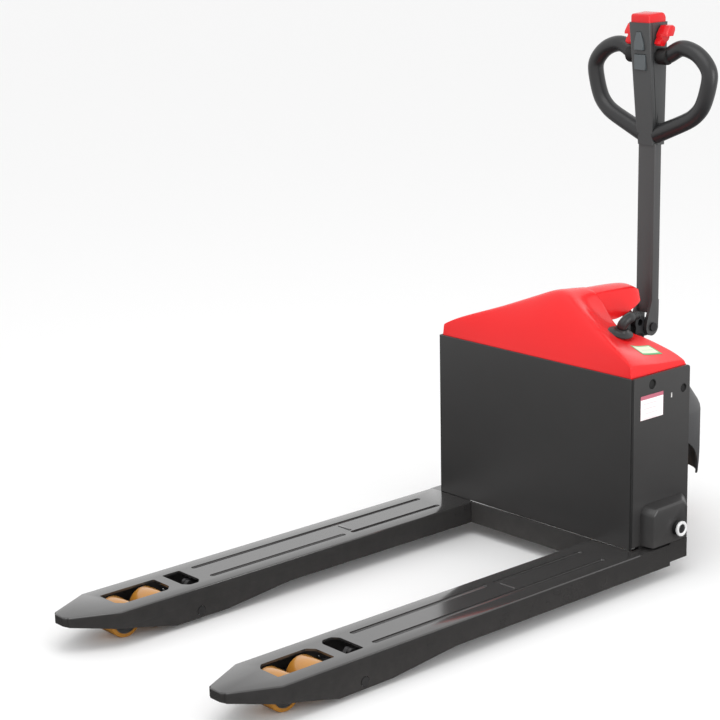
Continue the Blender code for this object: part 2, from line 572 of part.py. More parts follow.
# ---- drive unit ---------------------------------------------------------------------
def build_drive_unit():
    pivot = joint_empty("steering_axis", 0, STEER_Y, 0)
    centre = (0, STEER_Y)
    ring = turned([(0.0665, 0.358), (0.0665, 0.3717), (0.092, 0.3717), (0.092, 0.358)],
                  (*centre, 0), segments=32)
    finish_object("slewing_ring", ring, "zinc_steel", pivot)
    motor = combined(rod("Z", centre, 0.0620, 0.2323, 0.440, 32),
                     rod("Z", centre, 0.0480, 0.435, 0.4647, 32))
    finish_object("drive_motor", motor, "motor_cast", pivot)
    case = combined(
        box((-0.078, 0.078), (STEER_Y - 0.062, STEER_Y + 0.062), (0.214, 0.232), 0.004),
        extruded(arc(STEER_Y, WHEEL_R, 0.060, 180, 360, 12)
                 + [(STEER_Y + 0.058, 0.216), (STEER_Y - 0.058, 0.216)], "X", 0.044, 0.074),
        rod("X", (STEER_Y, WHEEL_R), 0.012, -0.030, 0.050))
    finish_object("gearbox", case, "motor_cast", pivot)
    build_drive_cover(pivot)
    build_knuckle(pivot)
    axle = joint_empty("drive_axle", 0, STEER_Y, WHEEL_R)
    tyre = turned([(0.080, -WHEEL_HALF), (WHEEL_R - 0.004, -WHEEL_HALF),
                   (WHEEL_R, -WHEEL_HALF + 0.004), (WHEEL_R, WHEEL_HALF - 0.004),
                   (WHEEL_R - 0.004, WHEEL_HALF), (0.080, WHEEL_HALF)],
                  (0, STEER_Y, WHEEL_R), "X", 36)
    finish_object("drive_tyre", tyre, "polyurethane", axle)
    hub = turned([(0.0125, -0.024), (0.032, -0.030), (0.050, -0.012), (0.070, -0.012),
                  (0.070, -0.032), (0.0797, -0.032), (0.0797, 0.032), (0.070, 0.032),
                  (0.070, 0.012), (0.050, 0.012), (0.032, 0.030), (0.0125, 0.030)],
                 (0, STEER_Y, WHEEL_R), "X", 28)
    finish_object("drive_hub", hub, "wheel_core", axle)


def build_drive_cover(pivot):
    """A curved guard round the rear of the drive wheel, open at the front and below."""
    outer = [(COVER_R - 0.003, 0.132), (COVER_R, 0.180), (COVER_R, 0.305), (0.128, 0.3545),
             (0.070, 0.3545), (0.070, 0.3515), (0.126, 0.3515), (COVER_R - 0.0045, 0.303),
             (COVER_R - 0.0045, 0.180), (COVER_R - 0.0075, 0.132)]
    bm = bmesh.new()
    start = math.radians(-8)
    verts = [bm.verts.new((r * math.cos(start), r * math.sin(start), h)) for r, h in outer]
    face = bm.faces.new(verts)
    bmesh.ops.spin(bm, geom=[face], cent=(0, 0, 0), axis=(0, 0, 1), dvec=(0, 0, 0),
                   angle=math.radians(196), steps=20, use_merge=False)
    start_face = [f for f in bm.faces if len(f.verts) == len(outer)]
    if len(start_face) < 2:
        bm.faces.new(verts)
    for vert in bm.verts:
        reach = math.hypot(vert.co.x, vert.co.y)
        swell = (abs(vert.co.x / reach) ** CORNER_FULLNESS
                 + abs(vert.co.y / reach) ** CORNER_FULLNESS) ** (-1 / CORNER_FULLNESS)
        vert.co.x *= swell
        vert.co.y *= swell
    bmesh.ops.translate(bm, verts=bm.verts, vec=(0, STEER_Y, 0))
    bmesh.ops.recalc_face_normals(bm, faces=bm.faces)
    scoop = extruded([(-0.04, 0.11), (0.105, 0.11), (0.100, 0.160), (0.080, 0.200), (0.045, 0.228),
                      (0.0, 0.235), (-0.04, 0.235)], "X", -0.2, 0.2)
    bmesh.ops.translate(scoop, verts=scoop.verts, vec=(0, STEER_Y, 0))
    finish_object("drive_cover", combined(bm, scoop, operation="DIFFERENCE"), "cover_plastic",
                  pivot)


def build_knuckle(pivot):
    """The bracket on the drive unit's head that holds the tiller's pivot."""
    plate = rod("Z", (0, STEER_Y), 0.044, 0.4650, 0.4735, 28)
    tongue = extruded([(0.345, 0.466), (0.405, 0.466)] + arc(*TILLER, 0.020, -60, 75, 6)
                      + [(0.360, 0.5085), (0.348, 0.500)], "X", -0.0172, 0.0172)
    boss = rod("X", (0.362, 0.5020), 0.0175, -0.0172, 0.0172)
    knuckle = combined(plate, tongue, boss)
    hole = rod("X", TILLER, 0.0077, -0.03, 0.03, 16)
    recess = rod("X", (0.362, 0.5020), 0.0085, 0.006, 0.03, 16)
    finish_object("steering_knuckle", combined(knuckle, hole, recess, operation="DIFFERENCE"),
                  "black_steel", pivot)
    pin = combined(rod("X", TILLER, 0.0070, -0.030, 0.030, 16),
                   rod("X", TILLER, 0.0110, 0.0265, 0.0315, 16),
                   rod("X", TILLER, 0.0110, -0.0315, -0.0265, 16))
    finish_object("tiller_pin", pin, "black_steel", pivot)
    inlet = turned([(0, 0.4738), (0.0138, 0.4738), (0.0138, 0.480), (0.0122, 0.484),
                    (0.0118, 0.5053), (0, 0.5053)], (0, STEER_Y, 0), segments=20)
    finish_object("cable_inlet", inlet, "conduit_black", pivot)


# ---- tiller -------------------------------------------------------------------------
LOOP_GUIDES = ((0.020, 1.141), (0.050, 1.143), (0.090, 1.162), (0.128, 1.156), (0.158, 1.136),
               (0.1750, 1.108), (0.170, 1.070), (0.156, 1.032), (0.136, 1.009), (0.112, 0.994),
               (0.064, 0.973), (0.020, 0.955))


def head_section(z):
    """Half width, front and rear of the tiller's head at a height."""
    share = (z - HEAD_Z[0]) / (HEAD_Z[1] - HEAD_Z[0])
    return 0.0275 + 0.0035 * share, 0.390 - 0.030 * share, 0.430


def build_tiller():
    pivot = joint_empty("tiller_axis", 0, *TILLER)
    tube = box((-ARM_HALF, ARM_HALF), ARM_FACES, (0.520, HEAD_Z[0] - GAP), 0.003)
    parts = []
    for low in (-ARM_HALF, ARM_HALF - 0.0083):
        cheek = extruded([(ARM_FACES[0] + 0.001, 0.545), (0.376, 0.500)]
                         + arc(*TILLER, 0.022, 170, 350, 10) + [(ARM_FACES[1] - 0.001, 0.520),
                         (ARM_FACES[1] - 0.001, 0.545)], "X", low, low + 0.0083)
        parts.append(cheek)
    arm = combined(tube, *parts)
    arm = combined(arm, rod("X", TILLER, 0.0077, -0.04, 0.04, 16), operation="DIFFERENCE")
    finish_object("tiller_arm", arm, "arm_paint", pivot)

    head = bmesh.new()
    for z in HEAD_Z:
        half, front, rear = head_section(z)
        cut = 0.005
        for x, y in ((-half + cut, front), (half - cut, front), (half, front + cut),
                     (half, rear - cut), (half - cut, rear), (-half + cut, rear),
                     (-half, rear - cut), (-half, front + cut)):
            head.verts.new((x, y, z))
    bmesh.ops.convex_hull(head, input=head.verts)
    cuts = [box((-0.0145, 0.0145), (0.34, 0.376), (1.156, 1.199)),
            box((-0.0170, 0.0170), (0.34, 0.378), (1.109, 1.1465)),
            box((-0.0125, 0.0125), (0.3855, 0.4105), (HEAD_Z[1] - 0.0095, HEAD_Z[1] + 0.01)),
            rod("X", THROTTLE, 0.0085, -0.06, 0.06, 16)]
    head = combined(head, *cuts, operation="DIFFERENCE")
    finish_object("tiller_head", head, "head_plastic", pivot)
    for label, side in SIDES:
        build_handle_loop(label, side, pivot)
    build_controls()


def build_handle_loop(label, side, pivot):
    """One half of the closed handle, a tube that leaves the head and comes back to it."""
    guides = [Vector((x, LOOP_Y, z)) for x, z in LOOP_GUIDES]
    route = smooth_route(guides, 2)
    segments = 12
    bm = bmesh.new()
    rings = []
    for i, p in enumerate(route):
        ahead = (route[min(i + 1, len(route) - 1)] - route[max(i - 1, 0)]).normalized()
        across = ahead.cross(Vector((0, 1, 0))).normalized()
        ring = []
        for k in range(segments):
            t = math.tau * k / segments
            ring.append(bm.verts.new(p + LOOP_R * (math.cos(t) * across
                                                   + math.sin(t) * Vector((0, 1, 0)))))
        rings.append(ring)
    for a, b in zip(rings, rings[1:]):
        for k in range(segments):
            bm.faces.new((a[k], a[(k + 1) % segments], b[(k + 1) % segments], b[k]))
    bm.faces.new(rings[0])
    bm.faces.new(rings[-1])
    bmesh.ops.recalc_face_normals(bm, faces=bm.faces)
    half_top = head_section(HEAD_Z[1])[0]
    trim = box((-0.05, half_top + GAP), (0.3, 0.5), (0.9, 1.3))
    finish_object(f"handle_loop_{label}",
                  mirrored(combined(bm, trim, operation="DIFFERENCE"), side), "grip_rubber",
                  pivot)


THROTTLE = (0.396, 1.189)       # y, z of the butterfly's axis


def build_controls():
    axle = joint_empty("throttle_axis", 0, *THROTTLE)
    parts = []
    for _, side in SIDES:
        hub = rod("X", THROTTLE, 0.0130, 0.0330, 0.0570, 20)
        wing = extruded([(y + THROTTLE[0], z + THROTTLE[1]) for y, z in
                         ((-0.006, 0.006), (-0.004, 0.018), (0.003, 0.019), (0.008, 0.006))],
                        "X", 0.0330, 0.0570)
        grip = extruded([(y + THROTTLE[0], z + THROTTLE[1]) for y, z in
                         ((0.006, -0.006), (0.004, -0.018), (-0.003, -0.019), (-0.008, -0.006))],
                        "X", 0.0330, 0.0570)
        parts += [mirrored(hub, side), mirrored(wing, side), mirrored(grip, side)]
    shaft = rod("X", THROTTLE, 0.0078, -0.040, 0.040, 16)
    finish_object("throttle_wings", combined(shaft, *parts), "red_plastic", axle)

    top = HEAD_Z[1]
    half, front, rear = head_section(top)
    guide = joint_empty("belly_button_guide", 0, (front + rear) / 2, top)
    cap = extruded([(front + 0.001, top + 0.0085)]
                   + arc(front + 0.010, top + 0.0185, 0.009, 180, 90, 4)
                   + arc(rear - 0.010, top + 0.0185, 0.009, 90, 0, 4)
                   + [(rear - 0.001, top + 0.0085)], "X", -half + 0.001, half - 0.001)
    stem = box((-0.012, 0.012), (0.386, 0.410), (top - 0.0012, top + 0.010))
    finish_object("belly_button", combined(cap, stem), "red_plastic", guide)
    raise_guide = joint_empty("raise_button_guide", 0, 0.36, 1.177)
    arrow = extruded([(-0.0135, 1.157), (0.0135, 1.157), (0.0135, 1.171), (0.006, 1.198),
                      (-0.006, 1.198), (-0.0135, 1.171)], "Y", 0.3600, 0.3705)
    finish_object("raise_button", arrow, "button_grey", raise_guide)
    lower_guide = joint_empty("lower_button_guide", 0, 0.364, 1.128)
    square = box((-0.0160, 0.0160), (0.3650, 0.3745), (1.110, 1.1455), 0.001)
    finish_object("lower_button", square, "button_grey", lower_guide)


# ---- the whole truck ----------------------------------------------------------------
clear_scene()
build_body_panels()
build_hood()
build_gland()
build_conduit()
build_inside()
build_cross_shaft()
for fork_label, fork_side in SIDES:
    build_fork(fork_label, fork_side)
    build_push_rod(fork_label, fork_side)
    build_load_arm(fork_label, fork_side)
    build_castor(fork_label, fork_side)
build_drive_base()
build_drive_unit()
build_tiller()
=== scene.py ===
import math

import bmesh
import bpy
from mathutils import Matrix, Vector


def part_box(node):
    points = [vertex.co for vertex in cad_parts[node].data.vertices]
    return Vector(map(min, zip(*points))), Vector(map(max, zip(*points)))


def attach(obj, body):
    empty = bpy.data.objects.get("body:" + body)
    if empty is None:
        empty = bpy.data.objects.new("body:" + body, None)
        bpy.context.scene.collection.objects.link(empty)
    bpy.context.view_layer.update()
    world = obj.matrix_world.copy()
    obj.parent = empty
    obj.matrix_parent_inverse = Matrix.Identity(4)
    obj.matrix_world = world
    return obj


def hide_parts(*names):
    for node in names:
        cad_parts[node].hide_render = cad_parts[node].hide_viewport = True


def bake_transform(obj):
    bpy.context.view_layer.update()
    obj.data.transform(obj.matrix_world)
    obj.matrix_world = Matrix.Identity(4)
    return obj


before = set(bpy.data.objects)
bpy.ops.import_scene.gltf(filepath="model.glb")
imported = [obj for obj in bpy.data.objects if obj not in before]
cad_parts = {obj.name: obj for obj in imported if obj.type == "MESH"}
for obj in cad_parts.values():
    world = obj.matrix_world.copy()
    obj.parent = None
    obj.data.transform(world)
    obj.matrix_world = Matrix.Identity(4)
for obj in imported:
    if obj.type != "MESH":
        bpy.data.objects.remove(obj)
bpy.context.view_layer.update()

scene = bpy.context.scene
view_layer = bpy.context.view_layer
PANEL_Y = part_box("front_panel")[0].y      # the front panel's face; lengths along Y count from it

# ---- camera -------------------------------------------------------------------------
# Seen from ahead of the forks and to their right, from about chest height, through a
# long lens that flattens the perspective a little.
CAMERA_AT = Vector((3.158, PANEL_Y - 3.307, 1.650))
CAMERA_TURN, CAMERA_DOWN, CAMERA_ROLL = (math.radians(a) for a in (48.661, 14.403, -1.122))
back = Vector((math.sin(CAMERA_TURN) * math.cos(CAMERA_DOWN),
               -math.cos(CAMERA_TURN) * math.cos(CAMERA_DOWN), math.sin(CAMERA_DOWN)))
right = (-back).cross(Vector((0, 0, 1))).normalized()
up = right.cross(-back)
tilted_right = right * math.cos(CAMERA_ROLL) + up * math.sin(CAMERA_ROLL)
tilted_up = up * math.cos(CAMERA_ROLL) - right * math.sin(CAMERA_ROLL)
camera_data = bpy.data.cameras.new("camera")
camera_data.lens = 101.5
camera_data.sensor_width = 36.0
camera_data.clip_end = 60.0
camera = bpy.data.objects.new("camera", camera_data)
turned_axes = Matrix((tilted_right, tilted_up, back)).transposed()
camera.matrix_world = Matrix.Translation(CAMERA_AT) @ turned_axes.to_4x4()
scene.collection.objects.link(camera)
scene.camera = camera

# ---- studio -------------------------------------------------------------------------
# A plain white sweep lit by one broad soft light overhead and a tall one on the operator's
# right. The surround is white, so the dark paint shows the glare on its upper faces.
scene.view_settings.view_transform = "Standard"
scene.view_settings.look = "None"
world = bpy.data.worlds.new("studio")
world.use_nodes = True
world.node_tree.nodes["Background"].inputs["Color"].default_value = (1.0, 1.0, 1.0, 1.0)
world.node_tree.nodes["Background"].inputs["Strength"].default_value = 1.0
scene.world = world


def soft_light(name, place, aim, size, power):
    data = bpy.data.lights.new(name, "AREA")
    data.shape = "RECTANGLE"
    data.size, data.size_y = size
    data.energy = power
    lamp = bpy.data.objects.new(name, data)
    lamp.location = place
    lamp.rotation_euler = (Vector(aim) - Vector(place)).to_track_quat("-Z", "Y").to_euler()
    scene.collection.objects.link(lamp)


soft_light("overhead", (0.4, -0.8, 3.2), (0, 0, 0.2), (2.4, 2.0), 24)
soft_light("tall_side", (3.4, 1.0, 1.3), (0.2, 0.3, 0.5), (1.2, 2.0), 38)


# ---- finishes: shared texture of paint and plastic ----------------------------------
# Powder coat and moulded plastic both carry a fine bumpy skin, a slow drift of shade and
# patches that are a little duller, so one group makes all three for every material.
def shader_group(name, inputs, outputs):
    group = bpy.data.node_groups.new(name, "ShaderNodeTree")
    for socket, kind, value in inputs:
        made = group.interface.new_socket(name=socket, in_out="INPUT", socket_type=kind)
        made.default_value = value
    for socket, kind in outputs:
        group.interface.new_socket(name=socket, in_out="OUTPUT", socket_type=kind)
    return group, group.nodes.new("NodeGroupInput"), group.nodes.new("NodeGroupOutput")


def add_node(tree, kind, values=(), **settings):
    """Adds a node; values are (socket, value or the socket that feeds it)."""
    node = tree.nodes.new(kind)
    for name, value in settings.items():
        setattr(node, name, value)
    for socket, value in values:
        if isinstance(value, bpy.types.NodeSocket):
            tree.links.new(value, node.inputs[socket])
        else:
            node.inputs[socket].default_value = value
    return node


def skin_group():
    group, given, result = shader_group(
        "fine_skin",
        [("Colour", "NodeSocketColor", (0.5, 0.5, 0.5, 1)), ("Drift", "NodeSocketFloat", 0.1),
         ("Roughness", "NodeSocketFloat", 0.4), ("Dull Patches", "NodeSocketFloat", 0.1),
         ("Grain Scale", "NodeSocketFloat", 900.0), ("Grain Depth", "NodeSocketFloat", 0.1)],
        [("Colour", "NodeSocketColor"), ("Roughness", "NodeSocketFloat"),
         ("Normal", "NodeSocketVector")])
    place = add_node(group, "ShaderNodeTexCoord").outputs["Object"]
    slow = add_node(group, "ShaderNodeTexNoise",
                    [("Vector", place), ("Scale", 5.0), ("Detail", 5.0)]).outputs["Fac"]
    centred = add_node(group, "ShaderNodeMath", [(0, slow), (1, 0.5)], operation="SUBTRACT")
    swing = add_node(group, "ShaderNodeMath", [(0, centred.outputs[0]), (1, given.outputs["Drift"])],
                     operation="MULTIPLY")
    gain = add_node(group, "ShaderNodeMath", [(0, swing.outputs[0]), (1, 1.0)], operation="ADD")
    shade = add_node(group, "ShaderNodeVectorMath", [("Vector", given.outputs["Colour"]),
                                                     ("Scale", gain.outputs[0])], operation="SCALE")
    patches = add_node(group, "ShaderNodeTexNoise",
                       [("Vector", place), ("Scale", 23.0), ("Detail", 6.0), ("Roughness", 0.65)])
    off = add_node(group, "ShaderNodeMath", [(0, patches.outputs["Fac"]), (1, 0.5)],
                   operation="SUBTRACT")
    duller = add_node(group, "ShaderNodeMath",
                      [(0, off.outputs[0]), (1, given.outputs["Dull Patches"]),
                       (2, given.outputs["Roughness"])], operation="MULTIPLY_ADD")
    grain = add_node(group, "ShaderNodeTexNoise",
                     [("Vector", place), ("Scale", given.outputs["Grain Scale"]), ("Detail", 2.0)])
    bump = add_node(group, "ShaderNodeBump",
                    [("Strength", given.outputs["Grain Depth"]), ("Distance", 0.0004),
                     ("Height", grain.outputs["Fac"])])
    group.links.new(shade.outputs["Vector"], result.inputs["Colour"])
    group.links.new(duller.outputs[0], result.inputs["Roughness"])
    group.links.new(bump.outputs["Normal"], result.inputs["Normal"])
    return group


def dust_group():
    """A thin film of floor dust that thickens towards the ground."""
    group, given, result = shader_group(
        "floor_dust", [("Height", "NodeSocketFloat", 0.12), ("Amount", "NodeSocketFloat", 0.2)],
        [("Mask", "NodeSocketFloat")])
    place = add_node(group, "ShaderNodeTexCoord").outputs["Object"]
    height = add_node(group, "ShaderNodeSeparateXYZ", [(0, place)]).outputs["Z"]
    low = add_node(group, "ShaderNodeMapRange",
                   [("Value", height), ("From Min", 0.0), ("From Max", given.outputs["Height"]),
                    ("To Min", 1.0), ("To Max", 0.0)])
    cloud = add_node(group, "ShaderNodeTexNoise", [("Vector", place), ("Scale", 34.0),
                                                   ("Detail", 6.0), ("Roughness", 0.7)])
    mix = add_node(group, "ShaderNodeMath", [(0, low.outputs[0]), (1, cloud.outputs["Fac"])],
                   operation="MULTIPLY")
    scaled = add_node(group, "ShaderNodeMath", [(0, mix.outputs[0]), (1, given.outputs["Amount"])],
                      operation="MULTIPLY")
    group.links.new(scaled.outputs[0], result.inputs["Mask"])
    return group


FINE_SKIN, DUST = skin_group(), dust_group()
DUST_COLOUR = (0.30, 0.28, 0.26, 1)
DUST_HEIGHT = 0.13                         # the film fades out at this height above the floor


def finish(name, colour, roughness, metallic=0.0, coat=0.0, drift=0.25, dull=0.12, grain=900.0,
           depth=0.06, dust=0.0, shine=0.5):
    """A paint, plastic or metal: the fine skin, then floor dust over it."""
    made = bpy.data.materials.new(name)
    made.use_nodes = True
    tree = made.node_tree
    shader = tree.nodes["Principled BSDF"]
    skin = add_node(tree, "ShaderNodeGroup", node_tree=FINE_SKIN)
    for socket, value in (("Colour", (*colour, 1)), ("Drift", drift), ("Roughness", roughness),
                          ("Dull Patches", dull), ("Grain Scale", grain), ("Grain Depth", depth)):
        skin.inputs[socket].default_value = value
    shown = skin.outputs["Colour"]
    if dust > 0:
        film = add_node(tree, "ShaderNodeGroup", node_tree=DUST)
        film.inputs["Amount"].default_value = dust
        film.inputs["Height"].default_value = DUST_HEIGHT
        over = add_node(tree, "ShaderNodeMix", data_type="RGBA")
        tree.links.new(film.outputs["Mask"], over.inputs[0])
        tree.links.new(shown, over.inputs[6])
        over.inputs[7].default_value = DUST_COLOUR
        shown = over.outputs[2]
    tree.links.new(shown, shader.inputs["Base Color"])
    tree.links.new(skin.outputs["Roughness"], shader.inputs["Roughness"])
    tree.links.new(skin.outputs["Normal"], shader.inputs["Normal"])
    shader.inputs["Metallic"].default_value = metallic
    shader.inputs["Specular IOR Level"].default_value = shine
    shader.inputs["Coat Weight"].default_value = coat
    shader.inputs["Coat Roughness"].default_value = 0.12
    return made


# ---- floor --------------------------------------------------------------------------
# A seamless white floor takes the truck's soft shadow. A glowing card that only reflections see lies
# just under it, black round the truck and white beyond, and gives the dark paint its depth: it is a
# painted reflection, and its black middle is painted shade round the truck.
def level_sheet(name, height, finish_used):
    mesh = bpy.data.meshes.new(name)
    bm = bmesh.new()
    bmesh.ops.create_grid(bm, x_segments=1, y_segments=1, size=20.0)
    bmesh.ops.translate(bm, verts=bm.verts, vec=(0, 0, height))
    bm.to_mesh(mesh)
    bm.free()
    sheet = bpy.data.objects.new(name, mesh)
    scene.collection.objects.link(sheet)
    mesh.materials.append(finish_used)
    return sheet


def card_finish():
    made = bpy.data.materials.new("reflection_card")
    made.use_nodes = True
    tree = made.node_tree
    shader = tree.nodes["Principled BSDF"]
    place = add_node(tree, "ShaderNodeTexCoord").outputs["Object"]
    away = add_node(tree, "ShaderNodeVectorMath", [(0, place)], operation="LENGTH")
    # painted reflection: the card glows darkest round the truck, as painted shade, and brighter further
    # out
    grey = add_node(tree, "ShaderNodeMapRange",
                    [("Value", away.outputs["Value"]), ("From Min", 1.1), ("From Max", 2.9),
                     ("To Min", 0.02), ("To Max", 0.9)], interpolation_type="SMOOTHSTEP")
    tree.links.new(grey.outputs[0], shader.inputs["Emission Color"])
    shader.inputs["Emission Strength"].default_value = 1.0
    shader.inputs["Base Color"].default_value = (0, 0, 0, 1)
    shader.inputs["Specular IOR Level"].default_value = 0.0
    return made


floor = level_sheet("floor", 0.0, finish("floor_white", (0.93, 0.93, 0.93), 0.9, drift=0.0,
                                         dull=0.0, depth=0.0))
# reflections see the glowing card's painted shade in place of the floor
floor.visible_glossy = False
card = level_sheet("reflection_card", -0.002, card_finish())
card.visible_camera = False
card.visible_diffuse = False
card.visible_shadow = False

# ---- forks --------------------------------------------------------------------------
# Each fork is one pressing of 5 mm plate: a channel open below whose sides deepen at the
# load arm's pin, with two windows, two pressed grooves and a tip folded to a blunt wedge.
FRAME_PAINT = finish("frame_paint_coat", (0.034, 0.033, 0.033), 0.34, dull=0.16, grain=700,
                     depth=0.10, dust=0.25)
FORK_TOP_PAINT = finish("fork_paint_coat", (0.028, 0.027, 0.027), 0.17, coat=0.8, dull=0.08,
                        grain=700, depth=0.02, dust=0.12)


def from_points(points, axis, low, high):
    """An outline swept along an axis: (y, z) points for X, (x, z) for Y and (x, y) for Z."""
    place = {"X": lambda a, b: (low, a, b), "Y": lambda a, b: (a, low, b),
             "Z": lambda a, b: (a, b, low)}[axis]
    along = {"X": (1, 0, 0), "Y": (0, 1, 0), "Z": (0, 0, 1)}[axis]
    bm = bmesh.new()
    face = bm.faces.new([bm.verts.new(place(a, b)) for a, b in points])
    side = bmesh.ops.extrude_face_region(bm, geom=[face])
    moved = [v for v in side["geom"] if isinstance(v, bmesh.types.BMVert)]
    bmesh.ops.translate(bm, verts=moved, vec=Vector(along) * (high - low))
    bmesh.ops.recalc_face_normals(bm, faces=bm.faces)
    return bm


def arc(cx, cy, radius, start, end, steps):
    turns = [math.radians(start + (end - start) * i / steps) for i in range(steps + 1)]
    return [(cx + radius * math.cos(t), cy + radius * math.sin(t)) for t in turns]


def block(x, y, z, radius=0.0):
    bm = bmesh.new()
    bmesh.ops.create_cube(bm, size=1.0)
    bmesh.ops.scale(bm, verts=bm.verts, vec=[abs(b - a) for a, b in (x, y, z)])
    bmesh.ops.translate(bm, verts=bm.verts, vec=[(a + b) / 2 for a, b in (x, y, z)])
    if radius:
        bmesh.ops.bevel(bm, geom=bm.edges[:], offset=radius, segments=2, profile=0.5,
                        affect="EDGES", material=-1)
    return bm


def rod(axis, centre, radius, low, high, segments=32, chamfer=0.0):
    bm = from_points(arc(*centre, radius, 0, 360 - 360 / segments, segments - 1), axis, low, high)
    if chamfer:
        rims = [e for e in bm.edges if any(len(f.verts) > 4 for f in e.link_faces)]
        bmesh.ops.bevel(bm, geom=rims, offset=chamfer, segments=2, profile=0.5, affect="EDGES",
                        material=-1)
    return bm


def bevel_where(bm, chosen, radius, segments=3):
    edges = [e for e in bm.edges if chosen(e)]
    bmesh.ops.bevel(bm, geom=edges, offset=radius, segments=segments, profile=0.5,
                    affect="EDGES", material=-1)
    return bm


def evaluated(bm, *modifiers):
    """The mesh after its modifiers, each a (kind, settings) pair."""
    mesh = bpy.data.meshes.new("work")
    bm.to_mesh(mesh)
    bm.free()
    work = bpy.data.objects.new("work", mesh)
    scene.collection.objects.link(work)
    for kind, settings in modifiers:
        change = work.modifiers.new(kind.lower(), kind)
        for name, value in settings.items():
            setattr(change, name, value)
    view_layer.update()
    result = bmesh.new()
    result.from_object(work, bpy.context.evaluated_depsgraph_get())
    bpy.data.objects.remove(work, do_unlink=True)
    return result


def combined(base, *others, operation="UNION"):
    tools = []
    for bm in others:
        mesh = bpy.data.meshes.new("tool")
        bm.to_mesh(mesh)
        bm.free()
        tool = bpy.data.objects.new("tool", mesh)
        scene.collection.objects.link(tool)
        tools.append(tool)
    steps = [("BOOLEAN", {"operation": operation, "solver": "EXACT", "object": t}) for t in tools]
    result = evaluated(base, *steps)
    for tool in tools:
        bpy.data.objects.remove(tool, do_unlink=True)
    bmesh.ops.remove_doubles(result, verts=result.verts, dist=0.00001)
    bmesh.ops.dissolve_limit(result, angle_limit=math.radians(0.3), verts=result.verts,
                             edges=result.edges)
    return result


def mirrored(bm, side):
    if side < 0:
        bmesh.ops.scale(bm, verts=bm.verts, vec=(-1, 1, 1))
        bmesh.ops.reverse_faces(bm, faces=bm.faces)
    return bm


def placed(name, bm, body, finishes, replaces=(), edge=0.0, angle=35):
    """Puts a piece in the frame on its body; edge is the radius that its sharp edges get."""
    bmesh.ops.translate(bm, verts=bm.verts, vec=(0, PANEL_Y, 0))
    mesh = bpy.data.meshes.new(name)
    bm.to_mesh(mesh)
    bm.free()
    mesh.shade_smooth()
    mesh.set_sharp_from_angle(angle=math.radians(angle))
    piece = bpy.data.objects.new(name, mesh)
    scene.collection.objects.link(piece)
    for made in finishes if isinstance(finishes, (list, tuple)) else [finishes]:
        mesh.materials.append(made)
    if edge:
        rounding = piece.modifiers.new("edges", "BEVEL")
        rounding.width = edge
        rounding.segments = 2
        rounding.limit_method = "ANGLE"
        rounding.angle_limit = math.radians(30)
    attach(piece, body)
    if replaces:
        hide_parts(*replaces)
    return piece


SIDES = (("left", -1), ("right", 1))
fork_low, fork_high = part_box("fork_plate_right")
FORK_IN, FORK_OUT, FORK_TOP = fork_low.x, fork_high.x, fork_high.z
FORK_MID = (FORK_IN + FORK_OUT) / 2
FORK_WALL = 0.005
FORK_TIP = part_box("fork_nose_right")[0].y - PANEL_Y
NOSE_START = -1.042
ARM_PIN = (-0.833, 0.028)                  # y, z of the load arm's pin
GROOVE_FROM_MID, GROOVE_HALF, GROOVE_DEPTH = 0.034, 0.0065, 0.0040


def groove_tool(x, y0, y1, half=GROOVE_HALF, top=FORK_TOP, depth=GROOVE_DEPTH):
    """A long round-ended tool that presses a groove with rounded sides into a top plate."""
    ends = arc(x, y1 - half, half, 0, 180, 8) + arc(x, y0 + half, half, 180, 360, 8)
    tool = from_points(ends, "Z", top - depth, top + 0.01)
    floor_edges = [e for e in tool.edges if all(v.co.z < top for v in e.verts)]
    bmesh.ops.bevel(tool, geom=floor_edges, offset=depth * 0.8, segments=2, profile=0.5,
                    affect="EDGES", material=-1)
    return tool


